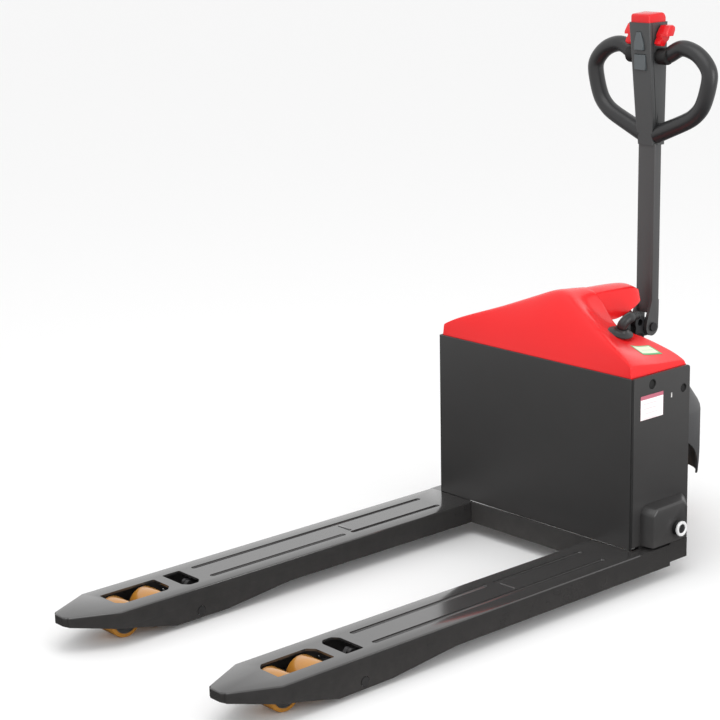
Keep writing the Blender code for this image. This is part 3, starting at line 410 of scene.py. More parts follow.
def fork_pressing(label, side):
    profile = [(0, 0.031), (-0.58, 0.031), (-0.76, 0.0125), (-0.90, 0.0115), (-1.007, 0.037),
               (NOSE_START, 0.0435), (FORK_TIP + 0.0075, 0.060), (FORK_TIP, 0.062),
               (FORK_TIP, FORK_TOP), (0, FORK_TOP)]
    body = from_points(profile, "X", FORK_IN, FORK_OUT)
    tip = arc(FORK_MID + 0.0110, FORK_TIP + 0.0120, 0.0120, -90, -28, 5)
    plan = ([(FORK_IN - 0.01, 0.01), (FORK_OUT + 0.01, 0.01), (FORK_OUT + 0.01, NOSE_START + 0.02),
             (FORK_OUT + 0.0001, NOSE_START), (FORK_MID + 0.0265, FORK_TIP + 0.0075)]
            + tip[::-1] + [(2 * FORK_MID - x, y) for x, y in tip]
            + [(FORK_MID - 0.0265, FORK_TIP + 0.0075), (FORK_IN - 0.0001, NOSE_START),
               (FORK_IN - 0.01, NOSE_START + 0.02)])
    body = combined(body, from_points(plan, "Z", -0.02, 0.12), operation="INTERSECT")
    bevel_where(body, lambda e: all(v.co.z > FORK_TOP - 0.0002 for v in e.verts)
                and not all(v.co.y > -0.001 for v in e.verts) and e.calc_face_angle(0) > 0.5,
                0.0038)
    channel = block((FORK_IN + FORK_WALL, FORK_OUT - FORK_WALL), (-1.036, 0.02),
                    (-0.02, FORK_TOP - FORK_WALL))
    window = from_points([(0.247, -1.022), (0.304, -1.022), (0.304, -0.878), (0.247, -0.878),
                          (0.231, -0.892), (0.231, -1.008)], "Z", 0.06, 0.10)
    lug_window = from_points([(0.235, -0.852), (0.309, -0.852), (0.309, -0.805), (0.235, -0.805),
                              (0.221, -0.817), (0.221, -0.840)], "Z", 0.06, 0.10)
    for tool in (window, lug_window):
        bevel_where(tool, lambda e: abs(e.verts[0].co.z - e.verts[1].co.z) > 0.01, 0.004, 3)
    pin_hole = rod("X", ARM_PIN, 0.0110, FORK_IN - 0.01, FORK_OUT + 0.01, 28)
    x_in, x_out = FORK_MID - GROOVE_FROM_MID, FORK_MID + GROOVE_FROM_MID
    grooves = [groove_tool(x_out, -0.775, -0.078),
               groove_tool(x_in, -0.775, -0.380),
               groove_tool(x_in, -0.361, -0.078)]
    body = combined(body, channel, window, lug_window, pin_hole, operation="DIFFERENCE")
    for groove in grooves:
        body = combined(body, groove, operation="DIFFERENCE")
    pip = block((FORK_MID - 0.021, FORK_MID + 0.021), (-0.3555, -0.3485),
                (FORK_TOP - 0.0010, FORK_TOP + 0.0016), 0.0012)
    tail = from_points([(-0.002, 0.031), (0.0985, 0.031), (0.0985, 0.040), (0.157, 0.040),
                        (0.157, 0.0860), (0.0985, 0.0860), (0.0985, FORK_TOP - 0.0002),
                        (-0.002, FORK_TOP - 0.0002)], "X", FORK_OUT - FORK_WALL, FORK_OUT)
    ledge = block((0.3085, FORK_OUT - 0.001), (0.0004, 0.156), (FORK_TOP - 0.005, FORK_TOP - 0.0003))
    body = combined(body, tail, ledge, pip)
    placed(f"fork_{label}", mirrored(body, side), "lift_frame", FORK_TOP_PAINT,
           [f"fork_{part}_{label}" for part in ("plate", "toe", "nose", "side_outer", "side_inner")],
           angle=28)


for label, side in SIDES:
    fork_pressing(label, side)

# ---- load wheels --------------------------------------------------------------------
# Two cast polyurethane rollers under each fork tip turn on a level bogie at the end of the
# load arm. The tread is amber and slightly clear, pressed on a machined steel sleeve.
POLYURETHANE = finish("amber_polyurethane", (0.50, 0.215, 0.025), 0.24, coat=0.6, drift=0.30,
                      grain=260, depth=0.05, dust=0.12)
MACHINED = finish("machined_steel", (0.52, 0.52, 0.53), 0.34, metallic=1.0, grain=1200, depth=0.05)
SHADE_STEEL = finish("blackened_steel", (0.022, 0.022, 0.024), 0.46, metallic=0.35, dust=0.2)
ZINC = finish("zinc_plate", (0.60, 0.60, 0.62), 0.32, metallic=1.0, grain=420, depth=0.08)


def turned(profile, centre, axis="Z", segments=48):
    """A ring or a solid spun from (radius, height) points about an axis."""
    bm = bmesh.new()
    verts = [bm.verts.new((r, 0, h)) for r, h in profile]
    pairs = zip(profile, profile[1:] + profile[:1])
    edges = [bm.edges.new((verts[i], verts[(i + 1) % len(verts)]))
             for i, (a, b) in enumerate(pairs) if not (a[0] == 0 and b[0] == 0)]
    bmesh.ops.spin(bm, geom=verts + edges, cent=(0, 0, 0), axis=(0, 0, 1), dvec=(0, 0, 0),
                   angle=math.tau, steps=segments, use_merge=True)
    bmesh.ops.remove_doubles(bm, verts=bm.verts, dist=0.00001)
    if axis == "X":
        bmesh.ops.rotate(bm, verts=bm.verts, cent=(0, 0, 0),
                         matrix=Matrix.Rotation(math.pi / 2, 3, "Y"))
    bmesh.ops.translate(bm, verts=bm.verts, vec=centre)
    bmesh.ops.recalc_face_normals(bm, faces=bm.faces)
    return bm


def centre_of(node):
    low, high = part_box(node)
    middle = (low + high) / 2
    return Vector((middle.x, middle.y - PANEL_Y, middle.z))


def joined(*parts):
    """One bmesh that holds several separate parts; each part's faces keep their material."""
    whole = bmesh.new()
    for index, bm in parts:
        for face in bm.faces:
            face.material_index = index
        mesh = bpy.data.meshes.new("part")
        bm.to_mesh(mesh)
        bm.free()
        whole.from_mesh(mesh)
        bpy.data.meshes.remove(mesh)
    return whole


def load_roller(label, place):
    node = f"load_roller_{label}_{place}"
    centre = centre_of(node)
    low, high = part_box(node)
    radius, half = (high.z - low.z) / 2, (high.x - low.x) / 2
    edge = 0.0035
    tread = turned([(0.030, -half), (radius - edge, -half), (radius - 0.001, -half + 0.0012),
                    (radius, -half + edge), (radius, half - edge),
                    (radius - 0.001, half - 0.0012), (radius - edge, half), (0.030, half)],
                   centre, "X", 56)
    sleeve = turned([(0.0180, -half + 0.001), (0.0298, -half + 0.001), (0.0298, half - 0.001),
                     (0.0180, half - 0.001)], centre, "X")
    bearing = turned([(0.0086, -half + 0.003), (0.0178, -half + 0.003), (0.0178, half - 0.003),
                      (0.0086, half - 0.003)], centre, "X")
    placed(f"load_wheel_{label}_{place}", joined((0, tread), (1, sleeve), (2, bearing)), node,
           [POLYURETHANE, MACHINED, SHADE_STEEL], [node])


for label, _ in SIDES:
    for place in ("front", "rear"):
        load_roller(label, place)

# ---- body shell ---------------------------------------------------------------------
# A folded front plate and two side plates stand on the forks, with a black strip at each front corner
# that is painted shade and a painted dark reflection, two lifting holes a side and a pressed box over
# the cross shaft's bearing.
PANEL_PAINT = finish("panel_paint_coat", (0.036, 0.035, 0.035), 0.36, dull=0.10, grain=620,
                     depth=0.06, dust=0.15)
# black for the small black parts; at the front corners the same black strip is painted shade and a
# painted dark reflection
BLACK_AND_PAINTED_SHADE = finish("black_and_painted_shade", (0.006, 0.006, 0.006), 0.65)
panel_low, panel_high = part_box("front_panel")
BODY_HALF, BODY_TOP = panel_high.x, panel_high.z
# width left at each front corner for the black strip of painted shade and painted dark reflection
PAINTED_SHADE_WIDTH = 0.0034
CRANK = (0.121, 0.118)                     # y, z of the cross shaft
SHAFT_BORE = 0.0146
LIFTING_HOLES = (((0.068, 0.459), 0.0115), ((0.176, 0.430), 0.0100))     # (y, z) and radius
PLUG_GAP = 0.0002
SIDE_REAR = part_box("side_panel_right")[1].y - PANEL_Y

front_plate = block((-BODY_HALF + PAINTED_SHADE_WIDTH, BODY_HALF - PAINTED_SHADE_WIDTH), (0.0, 0.004), (panel_low.z, BODY_TOP))
placed("body_front", front_plate, "lift_frame", PANEL_PAINT, ["front_panel"],
       edge=0.0012)
beam = combined(block((-FORK_IN + 0.0005, FORK_IN - 0.0005), (-0.008, -0.0003), (0.031, 0.082)),
                block((-FORK_IN + 0.0005, FORK_IN - 0.0005), (-0.0079, 0.030), (0.0311, 0.037)))
placed("front_crossbeam", beam, "lift_frame", FRAME_PAINT, ["crossbeam"],
       edge=0.0012)


def side_plate(label, side):
    outline = [(0.0066, 0.0862), (0.034, 0.0862), (0.034, 0.036), (SIDE_REAR, 0.036),
               (SIDE_REAR, BODY_TOP - 0.008)]
    outline += arc(SIDE_REAR - 0.008, BODY_TOP - 0.008, 0.008, 0, 90, 5)
    outline += [(0.0066, BODY_TOP)]
    panel = from_points(outline, "X", BODY_HALF - 0.006, BODY_HALF)
    holes = [rod("X", centre, radius, BODY_HALF - 0.02, BODY_HALF + 0.02, 40)
             for centre, radius in (*LIFTING_HOLES, (CRANK, SHAFT_BORE))]
    panel = combined(panel, *holes, operation="DIFFERENCE")
    placed(f"body_side_{label}", mirrored(panel, side), "lift_frame", PANEL_PAINT,
           [f"side_panel_{label}"], edge=0.0007)
    for (y, z), hole in LIFTING_HOLES:
        radius = hole - PLUG_GAP
        plug = turned([(0, BODY_HALF - 0.0050), (radius, BODY_HALF - 0.0050),
                       (radius, BODY_HALF - 0.0016), (radius - 0.0015, BODY_HALF - 0.0010),
                       (radius - 0.0025, BODY_HALF - 0.0030), (0, BODY_HALF - 0.0030)],
                      (0, y, z), "X", 32)
        placed(f"hole_plug_{label}_{round(y * 1000)}", mirrored(plug, side), "lift_frame",
               BLACK_AND_PAINTED_SHADE)
    # painted shade and a painted dark reflection: a black strip fills the corner where the front and
    # side plates meet
    painted_corner_shade = block((BODY_HALF - PAINTED_SHADE_WIDTH + 0.0001, BODY_HALF - 0.0006), (0.0007, 0.0064),
                 (panel_low.z, BODY_TOP - 0.0005))
    placed(f"corner_painted_shade_{label}", mirrored(painted_corner_shade, side), "lift_frame", BLACK_AND_PAINTED_SHADE)


def bearing_box(label, side):
    """The pressed box with sloping walls, open at the back, welded round its rim."""
    cut = 0.014                            # the pressing's clipped upper corners

    def frustum(inset, inner_x, outer_x):
        bm = bmesh.new()
        for x, (y0, y1), z1 in ((inner_x, (0.034 + inset, 0.190 - inset), 0.180 - inset),
                                (outer_x, (0.039 + inset, 0.157 - inset), 0.1765 - inset)):
            for y, z in ((y0, 0.0868), (y1, 0.0868), (y1, z1 - cut), (y1 - cut, z1),
                         (y0 + cut, z1), (y0, z1 - cut)):
                bm.verts.new((x, y, z))
        bmesh.ops.convex_hull(bm, input=bm.verts)
        bmesh.ops.dissolve_limit(bm, angle_limit=0.01, verts=bm.verts, edges=bm.edges)
        return bm

    shell = frustum(0, BODY_HALF + 0.0003, FORK_OUT)
    bevel_where(shell, lambda e: e.calc_face_angle(0) > 0.3
                and not all(v.co.x < BODY_HALF + 0.001 for v in e.verts)
                and not all(v.co.z < 0.088 for v in e.verts), 0.005, 3)
    shell = combined(shell, frustum(0.005, BODY_HALF - 0.004, FORK_OUT - 0.005),
                     block((BODY_HALF - 0.004, FORK_OUT - 0.005), (0.052, 0.150), (0.07, 0.10)),
                     rod("X", CRANK, SHAFT_BORE, BODY_HALF, FORK_OUT + 0.01, 40),
                     operation="DIFFERENCE")
    placed(f"bearing_box_{label}", mirrored(shell, side), "lift_frame", FRAME_PAINT,
           [f"shaft_housing_{label}"])


for label, side in SIDES:
    side_plate(label, side)
    bearing_box(label, side)

# ---- cross shaft ends ---------------------------------------------------------------
# The lift linkage's shaft comes out through each bearing box in a black bush and ends in a
# bright pressed ring.
BRIGHT_RING = finish("bright_ring", (0.86, 0.86, 0.86), 0.25, metallic=0.2, coat=0.3)
SHAFT_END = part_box("shaft_end_ring_right")[1].x


def shaft_end(label, side):
    ring = turned([(0.0108, -0.0030), (0.0168, -0.0030), (0.0175, -0.0020), (0.0175, 0.0020),
                   (0.0168, 0.0030), (0.0122, 0.0030), (0.0108, 0.0018)],
                  (SHAFT_END - 0.0030, *CRANK), "X", 56)
    plug = turned([(0, -0.0028), (0.0107, -0.0028), (0.0107, 0.0004), (0.0040, 0.0010),
                   (0.0, 0.0010)], (SHAFT_END - 0.0030, *CRANK), "X", 40)
    placed(f"shaft_ring_{label}", mirrored(joined((0, ring), (1, plug)), side), "cross_shaft",
           [BRIGHT_RING, SHADE_STEEL], [f"shaft_end_ring_{label}"])
    bush = turned([(0.0142, FORK_OUT + 0.0002), (0.0172, FORK_OUT + 0.0002),
                   (0.0172, FORK_OUT + 0.0060), (0.0165, FORK_OUT + 0.0068),
                   (0.0142, FORK_OUT + 0.0068)], (0, *CRANK), "X", 40)
    placed(f"shaft_bush_{label}", mirrored(bush, side), "lift_frame", BLACK_AND_PAINTED_SHADE)


for label, side in SIDES:
    shaft_end(label, side)

# ---- hood ---------------------------------------------------------------------------
# One injection-moulded red cap: a long sloping front, a spine that rises to the middle and
# a shoulder each side, with a beak that reaches back over the steering head.
HOOD_RED = finish("hood_red_gloss", (0.80, 0.012, 0.014), 0.26, coat=0.12, drift=0.10, dull=0.05,
                  grain=1400, depth=0.02, shine=0.28)
HOOD_X = (0.0, 0.040, 0.090, 0.150, 0.220, 0.270, 0.297)
HOOD_FOOT = BODY_TOP + 0.0005
HOOD_ROWS = (                              # (y, z) at each HOOD_X, from the front rim to the rear
    ((0.004, HOOD_FOOT),) * 7,
    ((0.020, 0.545), (0.019, 0.543), (0.018, 0.538), (0.014, 0.528), (0.008, 0.518),
     (0.006, 0.508), (0.0045, 0.498)),
    ((0.052, 0.594), (0.050, 0.590), (0.046, 0.578), (0.032, 0.557), (0.016, 0.538),
     (0.008, 0.521), (0.005, 0.507)),
    ((0.092, 0.6265), (0.086, 0.617), (0.078, 0.601), (0.055, 0.5755), (0.028, 0.549),
     (0.013, 0.527), (0.007, 0.511)),
    ((0.120, 0.6255), (0.118, 0.613), (0.116, 0.567), (0.112, 0.534), (0.100, 0.513),
     (0.090, 0.5055), (0.085, 0.4990)),
    ((0.155, 0.6225), (0.155, 0.609), (0.155, 0.543), (0.155, 0.528), (0.155, 0.5135),
     (0.155, 0.5045), (0.155, 0.4945)),
    ((0.190, 0.6185), (0.190, 0.606), (0.190, 0.526), (0.190, 0.530), (0.190, 0.5155),
     (0.190, 0.5035), (0.190, 0.4900)),
    ((0.193, HOOD_FOOT),) * 7,
)
BEAK_ROWS = (                              # y, ridge z, shoulder half width and z, low half width and z
    (0.150, 0.6190, 0.034, 0.6040, 0.042, 0.5520),
    (0.200, 0.6170, 0.034, 0.6035, 0.043, 0.5450),
    (0.240, 0.6150, 0.035, 0.6030, 0.045, 0.5285),
    (0.300, 0.6110, 0.034, 0.6000, 0.042, 0.5460),
    (0.328, 0.6065, 0.033, 0.5970, 0.039, 0.5550),
    (0.343, 0.5960, 0.028, 0.5880, 0.034, 0.5620),
)


def hood_skin():
    bm = bmesh.new()
    crease = bm.edges.layers.float.new("crease_edge")
    foot_x = HOOD_X[-1] + 0.003
    grid = []
    for row in HOOD_ROWS:
        half = [(x, y, z) for x, (y, z) in zip(HOOD_X, row)] + [(foot_x, row[-1][0], HOOD_FOOT)]
        whole = [(-x, y, z) for x, y, z in reversed(half[1:])] + half
        grid.append([bm.verts.new(p) for p in whole])
    for near, far in zip(grid, grid[1:]):
        for i in range(len(near) - 1):
            bm.faces.new((near[i], near[i + 1], far[i + 1], far[i]))
    bmesh.ops.remove_doubles(bm, verts=bm.verts, dist=0.00001)
    bmesh.ops.dissolve_degenerate(bm, edges=bm.edges, dist=0.00001)
    bmesh.ops.recalc_face_normals(bm, faces=bm.faces)
    if max(bm.faces, key=lambda f: f.calc_center_median().z).normal.z < 0:
        bmesh.ops.reverse_faces(bm, faces=bm.faces)
    for edge in bm.edges:
        if all(abs(v.co.z - HOOD_FOOT) < 0.0001 for v in edge.verts):
            edge[crease] = 1.0
        elif all(abs(v.co.y - 0.190) < 0.0001 for v in edge.verts):
            edge[crease] = 0.75
        elif all(abs(abs(v.co.x) - HOOD_X[-1]) < 0.0001 for v in edge.verts):
            edge[crease] = 0.55
    return evaluated(bm, ("SUBSURF", {"levels": 3, "render_levels": 3}),
                     ("SOLIDIFY", {"thickness": 0.003, "offset": -1}))


def hood_beak():
    bm = bmesh.new()
    crease = bm.edges.layers.float.new("crease_edge")
    rings = []
    for y, ridge, edge_x, edge_z, low_x, low_z in BEAK_ROWS:
        ring = [(0, ridge), (edge_x, edge_z), (low_x, low_z), (0, low_z - 0.002),
                (-low_x, low_z), (-edge_x, edge_z)]
        rings.append([bm.verts.new((x, y, z)) for x, z in ring])
    for a, b in zip(rings, rings[1:]):
        for i in range(len(a)):
            j = (i + 1) % len(a)
            edge = bm.faces.new((a[i], a[j], b[j], b[i])).edges
            for e in edge:
                along = abs(e.verts[0].co.y - e.verts[1].co.y) > 0.01
                if along and all(abs(v.co.x) > 0.02 for v in e.verts):
                    e[crease] = 0.92
    for ring in (rings[0], rings[-1]):
        for edge in bm.faces.new(ring).edges:
            edge[crease] = 0.75
    bmesh.ops.recalc_face_normals(bm, faces=bm.faces)
    return evaluated(bm, ("SUBSURF", {"levels": 3, "render_levels": 3}))


tongue = combined(block((-0.2990, 0.2990), (0.0052, 0.1920), (0.4740, 0.4835)),
                  block((-0.2965, 0.2965), (0.0077, 0.2000), (0.4700, 0.4900)),
                  operation="DIFFERENCE")
placed("hood_tongue", tongue, "lift_frame", HOOD_RED)
hood = placed("hood_cover", combined(hood_skin(), hood_beak()), "lift_frame", HOOD_RED,
              ["hood"], angle=32)
view_layer.update()


# ---- labels -------------------------------------------------------------------------
# Two plain vinyl labels with printed bands and bars and no lettering: one on the hood's
# right shoulder, one on the right side plate.
def label_finish(name, paper, band, band_from, frame_from, bars):
    """Paper, a coloured band above band_from, a frame outside frame_from and soft bars."""
    made = bpy.data.materials.new(name)
    made.use_nodes = True
    tree = made.node_tree
    shader = tree.nodes["Principled BSDF"]
    place = add_node(tree, "ShaderNodeUVMap", uv_map="print").outputs["UV"]
    parts = add_node(tree, "ShaderNodeSeparateXYZ", [(0, place)])
    u, v = parts.outputs["X"], parts.outputs["Y"]
    masks = [add_node(tree, "ShaderNodeMath", [(0, v), (1, band_from)],
                      operation="GREATER_THAN").outputs[0]]
    for axis in (u, v):
        off = add_node(tree, "ShaderNodeMath", [(0, axis), (1, 0.5)], operation="SUBTRACT")
        away = add_node(tree, "ShaderNodeMath", [(0, off.outputs[0])], operation="ABSOLUTE")
        masks.append(add_node(tree, "ShaderNodeMath", [(0, away.outputs[0]), (1, frame_from)],
                              operation="GREATER_THAN").outputs[0])
    ink = masks[0]
    for mask in masks[1:]:
        ink = add_node(tree, "ShaderNodeMath", [(0, ink), (1, mask)], operation="MAXIMUM").outputs[0]
    wave = add_node(tree, "ShaderNodeMath", [(0, v), (1, bars * math.tau)], operation="MULTIPLY")
    wave = add_node(tree, "ShaderNodeMath", [(0, wave.outputs[0])], operation="SINE")
    bar = add_node(tree, "ShaderNodeMath", [(0, wave.outputs[0]), (1, 0.72)],
                   operation="GREATER_THAN")
    inside = add_node(tree, "ShaderNodeMath", [(0, u), (1, 0.72)], operation="LESS_THAN")
    inset = add_node(tree, "ShaderNodeMath", [(0, u), (1, 0.14)], operation="GREATER_THAN")
    bar = add_node(tree, "ShaderNodeMath", [(0, bar.outputs[0]), (1, inside.outputs[0])],
                   operation="MULTIPLY")
    bar = add_node(tree, "ShaderNodeMath", [(0, bar.outputs[0]), (1, inset.outputs[0])],
                   operation="MULTIPLY")
    faint = add_node(tree, "ShaderNodeMath", [(0, bar.outputs[0]), (1, 0.30)], operation="MULTIPLY")
    ink = add_node(tree, "ShaderNodeMath", [(0, ink), (1, faint.outputs[0])],
                   operation="MAXIMUM").outputs[0]
    mix = add_node(tree, "ShaderNodeMix", data_type="RGBA")
    tree.links.new(ink, mix.inputs[0])
    mix.inputs[6].default_value = (*paper, 1)
    mix.inputs[7].default_value = (*band, 1)
    tree.links.new(mix.outputs[2], shader.inputs["Base Color"])
    shader.inputs["Roughness"].default_value = 0.38
    return made


def label_sheet(corners, steps=12):
    """A grid between four corners, with its print laid out across it."""
    low_left, low_right, high_right, high_left = (Vector(c) for c in corners)
    bm = bmesh.new()
    bmesh.ops.create_grid(bm, x_segments=steps, y_segments=steps, size=0.5)
    uv = bm.loops.layers.uv.new("print")
    for face in bm.faces:
        for loop in face.loops:
            loop[uv].uv = (loop.vert.co.x + 0.5, loop.vert.co.y + 0.5)
    for vert in bm.verts:
        u, v = vert.co.x + 0.5, vert.co.y + 0.5
        vert.co = low_left.lerp(low_right, u).lerp(high_left.lerp(high_right, u), v)
    return bm


LABEL_LIFT = 0.0005
shoulder = label_sheet([(0.215, 0.162, 0), (0.202, 0.113, 0), (0.252, 0.101, 0), (0.263, 0.154, 0)])
for vert in shoulder.verts:
    _, spot, _, _ = hood.ray_cast(Vector((vert.co.x, vert.co.y + PANEL_Y, 0.8)),
                                    Vector((0, 0, -1)))
    vert.co.z = spot.z + LABEL_LIFT
placed("shoulder_label", shoulder, "lift_frame",
       label_finish("cream_vinyl", (0.80, 0.86, 0.66), (0.10, 0.42, 0.16), 0.84, 0.43, 2.6))
plate = label_sheet([(BODY_HALF + LABEL_LIFT, y, z) for y, z in
                     ((0.028, 0.381), (0.105, 0.381), (0.105, 0.437), (0.028, 0.437))], 4)
placed("side_label", plate, "lift_frame",
       label_finish("white_vinyl", (0.86, 0.84, 0.84), (0.46, 0.12, 0.17), 0.84, 0.495, 5.0))

marker = label_sheet([(BODY_HALF + LABEL_LIFT, y, z) for y, z in
                      ((0.1315, 0.4155), (0.1360, 0.4155), (0.1360, 0.4275), (0.1315, 0.4275))], 2)
placed("side_marker", marker, "lift_frame",
       label_finish("grey_vinyl", (0.62, 0.60, 0.58), (0.30, 0.30, 0.30), 0.84, 0.40, 0.5))

# ---- cable gland and conduit --------------------------------------------------------
# A rubber boot with a broad flange seals the hood where the tiller's wiring leaves it. The wires run in
# ribbed conduit to the inlet on the steering axis.
RUBBER = finish("black_rubber", (0.014, 0.014, 0.015), 0.42, grain=500, depth=0.12)
GLAND = Vector((0.154, 0.133, 0.5385))
GLAND_TILT = Matrix.Rotation(math.radians(17), 3, "Y")
STEER_Y = 0.330
boot = turned([(0, 0.0002), (0.0290, 0.0002), (0.0300, 0.0015), (0.0296, 0.0032), (0.0250, 0.0050),
               (0.0195, 0.0068), (0.0165, 0.0090), (0.0155, 0.0115), (0.0148, 0.0138),
               (0, 0.0140)], (0, 0, 0), segments=56)
bmesh.ops.rotate(boot, verts=boot.verts, cent=(0, 0, 0), matrix=GLAND_TILT)
bmesh.ops.translate(boot, verts=boot.verts, vec=GLAND)
placed("gland_boot", boot, "lift_frame", RUBBER, ["cable_gland"])

out = GLAND_TILT @ Vector((0, 0, 1))
start = GLAND + out * 0.0152
end = Vector((0, STEER_Y, 0.5058))
CONDUIT_GUIDES = [start, start + out * 0.004, Vector((0.1612, 0.1352, 0.5622)),
                  Vector((0.1630, 0.1430, 0.5688)), Vector((0.1620, 0.1570, 0.5725)),
                  Vector((0.1460, 0.1930, 0.5690)), Vector((0.1140, 0.2370, 0.5570)),
                  Vector((0.0780, 0.2710, 0.5445)), Vector((0.0460, 0.2930, 0.5355)),
                  Vector((0.0130, 0.3240, 0.5300)), end + Vector((0, 0, 0.012)),
                  end + Vector((0, 0, 0.004)), end]


def smooth_route(guides, steps):
    """Points on a smooth curve through the guide points."""
    padded = [guides[0] * 2 - guides[1], *guides, guides[-1] * 2 - guides[-2]]
    points = []
    for a, b, c, d in zip(padded, padded[1:], padded[2:], padded[3:]):
        for i in range(steps):
            t = i / steps
            points.append(0.5 * (2 * b + (c - a) * t + (2 * a - 5 * b + 4 * c - d) * t ** 2
                                 + (3 * b - a - 3 * c + d) * t ** 3))
    return points + [guides[-1]]


def evenly(points, gap):
    """The same route with points a set distance apart."""
    spaced, left = [points[0]], gap
    for a, b in zip(points, points[1:]):
        while (b - a).length >= left:
            a = a + (b - a).normalized() * left
            spaced.append(a)
            left = gap
        left -= (b - a).length
    return spaced


def tube(route, radii, segments):
    """A closed tube along a route, with a radius at each of its points."""
    bm = bmesh.new()
    rings = []
    side = None
    for i, point in enumerate(route):
        ahead = (route[min(i + 1, len(route) - 1)] - route[max(i - 1, 0)]).normalized()
        if side is None:
            side = ahead.orthogonal().normalized()
        side = (side - ahead * side.dot(ahead)).normalized()
        other = ahead.cross(side)
        ring = bmesh.ops.create_circle(bm, segments=segments, radius=radii[i])["verts"]
        for vert in ring:
            across, along = vert.co.x, vert.co.y
            vert.co = point + side * across + other * along
        rings.append(ring)
    for a, b in zip(rings, rings[1:]):
        for k in range(segments):
            n = (k + 1) % segments
            bm.faces.new((a[k], a[n], b[n], b[k]))
    for ring in (rings[0], rings[-1]):
        bm.faces.new(ring)
    bmesh.ops.recalc_face_normals(bm, faces=bm.faces)
    return bm


RIB_PITCH, RIB_CREST, RIB_VALLEY = 0.0034, 0.0095, 0.0078
ELBOW_LENGTH, ELBOW_RADIUS = 0.040, 0.0120       # a thicker sleeve covers the first bend
ribs = evenly(smooth_route(CONDUIT_GUIDES, 24), RIB_PITCH / 4)
rib_radii = []
for i in range(len(ribs)):
    along = i * RIB_PITCH / 4
    ribbed = RIB_CREST if i % 4 < 2 else RIB_VALLEY
    rib_radii.append(ELBOW_RADIUS if along < ELBOW_LENGTH else ribbed)
conduit_mesh = tube(ribs, rib_radii, 20)
bmesh.ops.translate(conduit_mesh, verts=conduit_mesh.verts, vec=(0, PANEL_Y, 0))
mesh = bpy.data.meshes.new("ribbed_conduit")
conduit_mesh.to_mesh(mesh)
conduit_mesh.free()
mesh.shade_smooth()
conduit = bpy.data.objects.new("ribbed_conduit", mesh)
scene.collection.objects.link(conduit)
mesh.materials.append(RUBBER)
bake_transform(conduit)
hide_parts("tiller_conduit")

# ---- tiller -------------------------------------------------------------------------
# A rectangular steel tube with two cheeks that straddle the steering head, dark grey powder
# coat with softly rounded corners.
ARM_PAINT = finish("arm_paint_coat", (0.052, 0.052, 0.053), 0.36, dull=0.14, grain=650, depth=0.10)
TILLER = (0.397, 0.487)                    # y, z of the tiller's pivot
ARM_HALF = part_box("tiller_arm")[1].x
ARM_FACES = (0.394, 0.421)
HEAD_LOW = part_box("tiller_head")[0].z
HEAD_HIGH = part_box("tiller_head")[1].z

arm_tube = block((-ARM_HALF, ARM_HALF), ARM_FACES, (0.520, HEAD_LOW + 0.004))
bevel_where(arm_tube, lambda e: abs(e.verts[0].co.z - e.verts[1].co.z) > 0.1, 0.0045, 4)
cheeks = []
for low in (-ARM_HALF, ARM_HALF - 0.0083):
    cheek = from_points([(ARM_FACES[0] + 0.001, 0.552), (0.3765, 0.500)]
                        + arc(*TILLER, 0.022, 170, 350, 20)
                        + [(ARM_FACES[1] - 0.001, 0.520), (ARM_FACES[1] - 0.001, 0.552)],
                        "X", low, low + 0.0083)
    cheeks.append(cheek)
arm = combined(arm_tube, *cheeks)
arm = combined(arm, rod("X", TILLER, 0.0082, -0.04, 0.04, 32), operation="DIFFERENCE")
placed("tiller_tube", arm, "tiller", ARM_PAINT, ["tiller_arm"], edge=0.0007)

# ---- control head -------------------------------------------------------------------
# A two-shell moulding that widens towards the top, with a raised rim round the lift and
# lower buttons and a bore for the throttle's spindle.
HEAD_PLASTIC = finish("head_moulding", (0.052, 0.054, 0.055), 0.40, dull=0.10, grain=1500,
                      depth=0.16)
BUTTON_PLASTIC = finish("button_moulding", (0.082, 0.094, 0.100), 0.42, dull=0.08, grain=1500,
                        depth=0.10)
GRIP_PLASTIC = finish("grip_moulding", (0.020, 0.020, 0.021), 0.36, dull=0.12, grain=1300,
                      depth=0.22)
CONTROL_RED = finish("control_red_gloss", (0.66, 0.008, 0.012), 0.24, coat=0.15, dull=0.06,
                     grain=1500, depth=0.02, shine=0.35)


def head_section(z):
    share = (z - HEAD_LOW) / (HEAD_HIGH - HEAD_LOW)
    return 0.0275 + 0.0035 * share, 0.390 - 0.030 * share, 0.430


RIM = HEAD_HIGH + 0.0055                   # the head's walls stand up round the reversing cap
THROTTLE = (0.396, 1.189)                  # y, z of the butterfly's spindle
shell = bmesh.new()
for z in (HEAD_LOW, RIM):
    half, front, rear = head_section(z)
    for x, y in ((-half, front), (half, front), (half, rear), (-half, rear)):
        shell.verts.new((x, y, z))
bmesh.ops.convex_hull(shell, input=shell.verts)
bmesh.ops.dissolve_limit(shell, angle_limit=0.01, verts=shell.verts, edges=shell.edges)
bevel_where(shell, lambda e: abs(e.verts[0].co.z - e.verts[1].co.z) > 0.1, 0.005, 4)
half, front, rear = head_section(RIM)
pocket = (front + 0.0035, rear - 0.0035)
sockets = [from_points([(-0.0145, 1.1555), (0.0145, 1.1555), (0.0145, 1.172), (0.0072, 1.1995),
                        (-0.0072, 1.1995), (-0.0145, 1.172)], "Y", 0.34, 0.376),
           block((-0.0172, 0.0172), (0.34, 0.378), (1.1088, 1.1467)),
           block((-half + 0.0025, half - 0.0025), pocket, (HEAD_HIGH - 0.0055, RIM + 0.01)),
           block((-0.0125, 0.0125), (0.3855, 0.4105), (HEAD_HIGH - 0.0095, HEAD_HIGH + 0.01)),
           rod("X", THROTTLE, 0.0085, -0.06, 0.06, 32)]
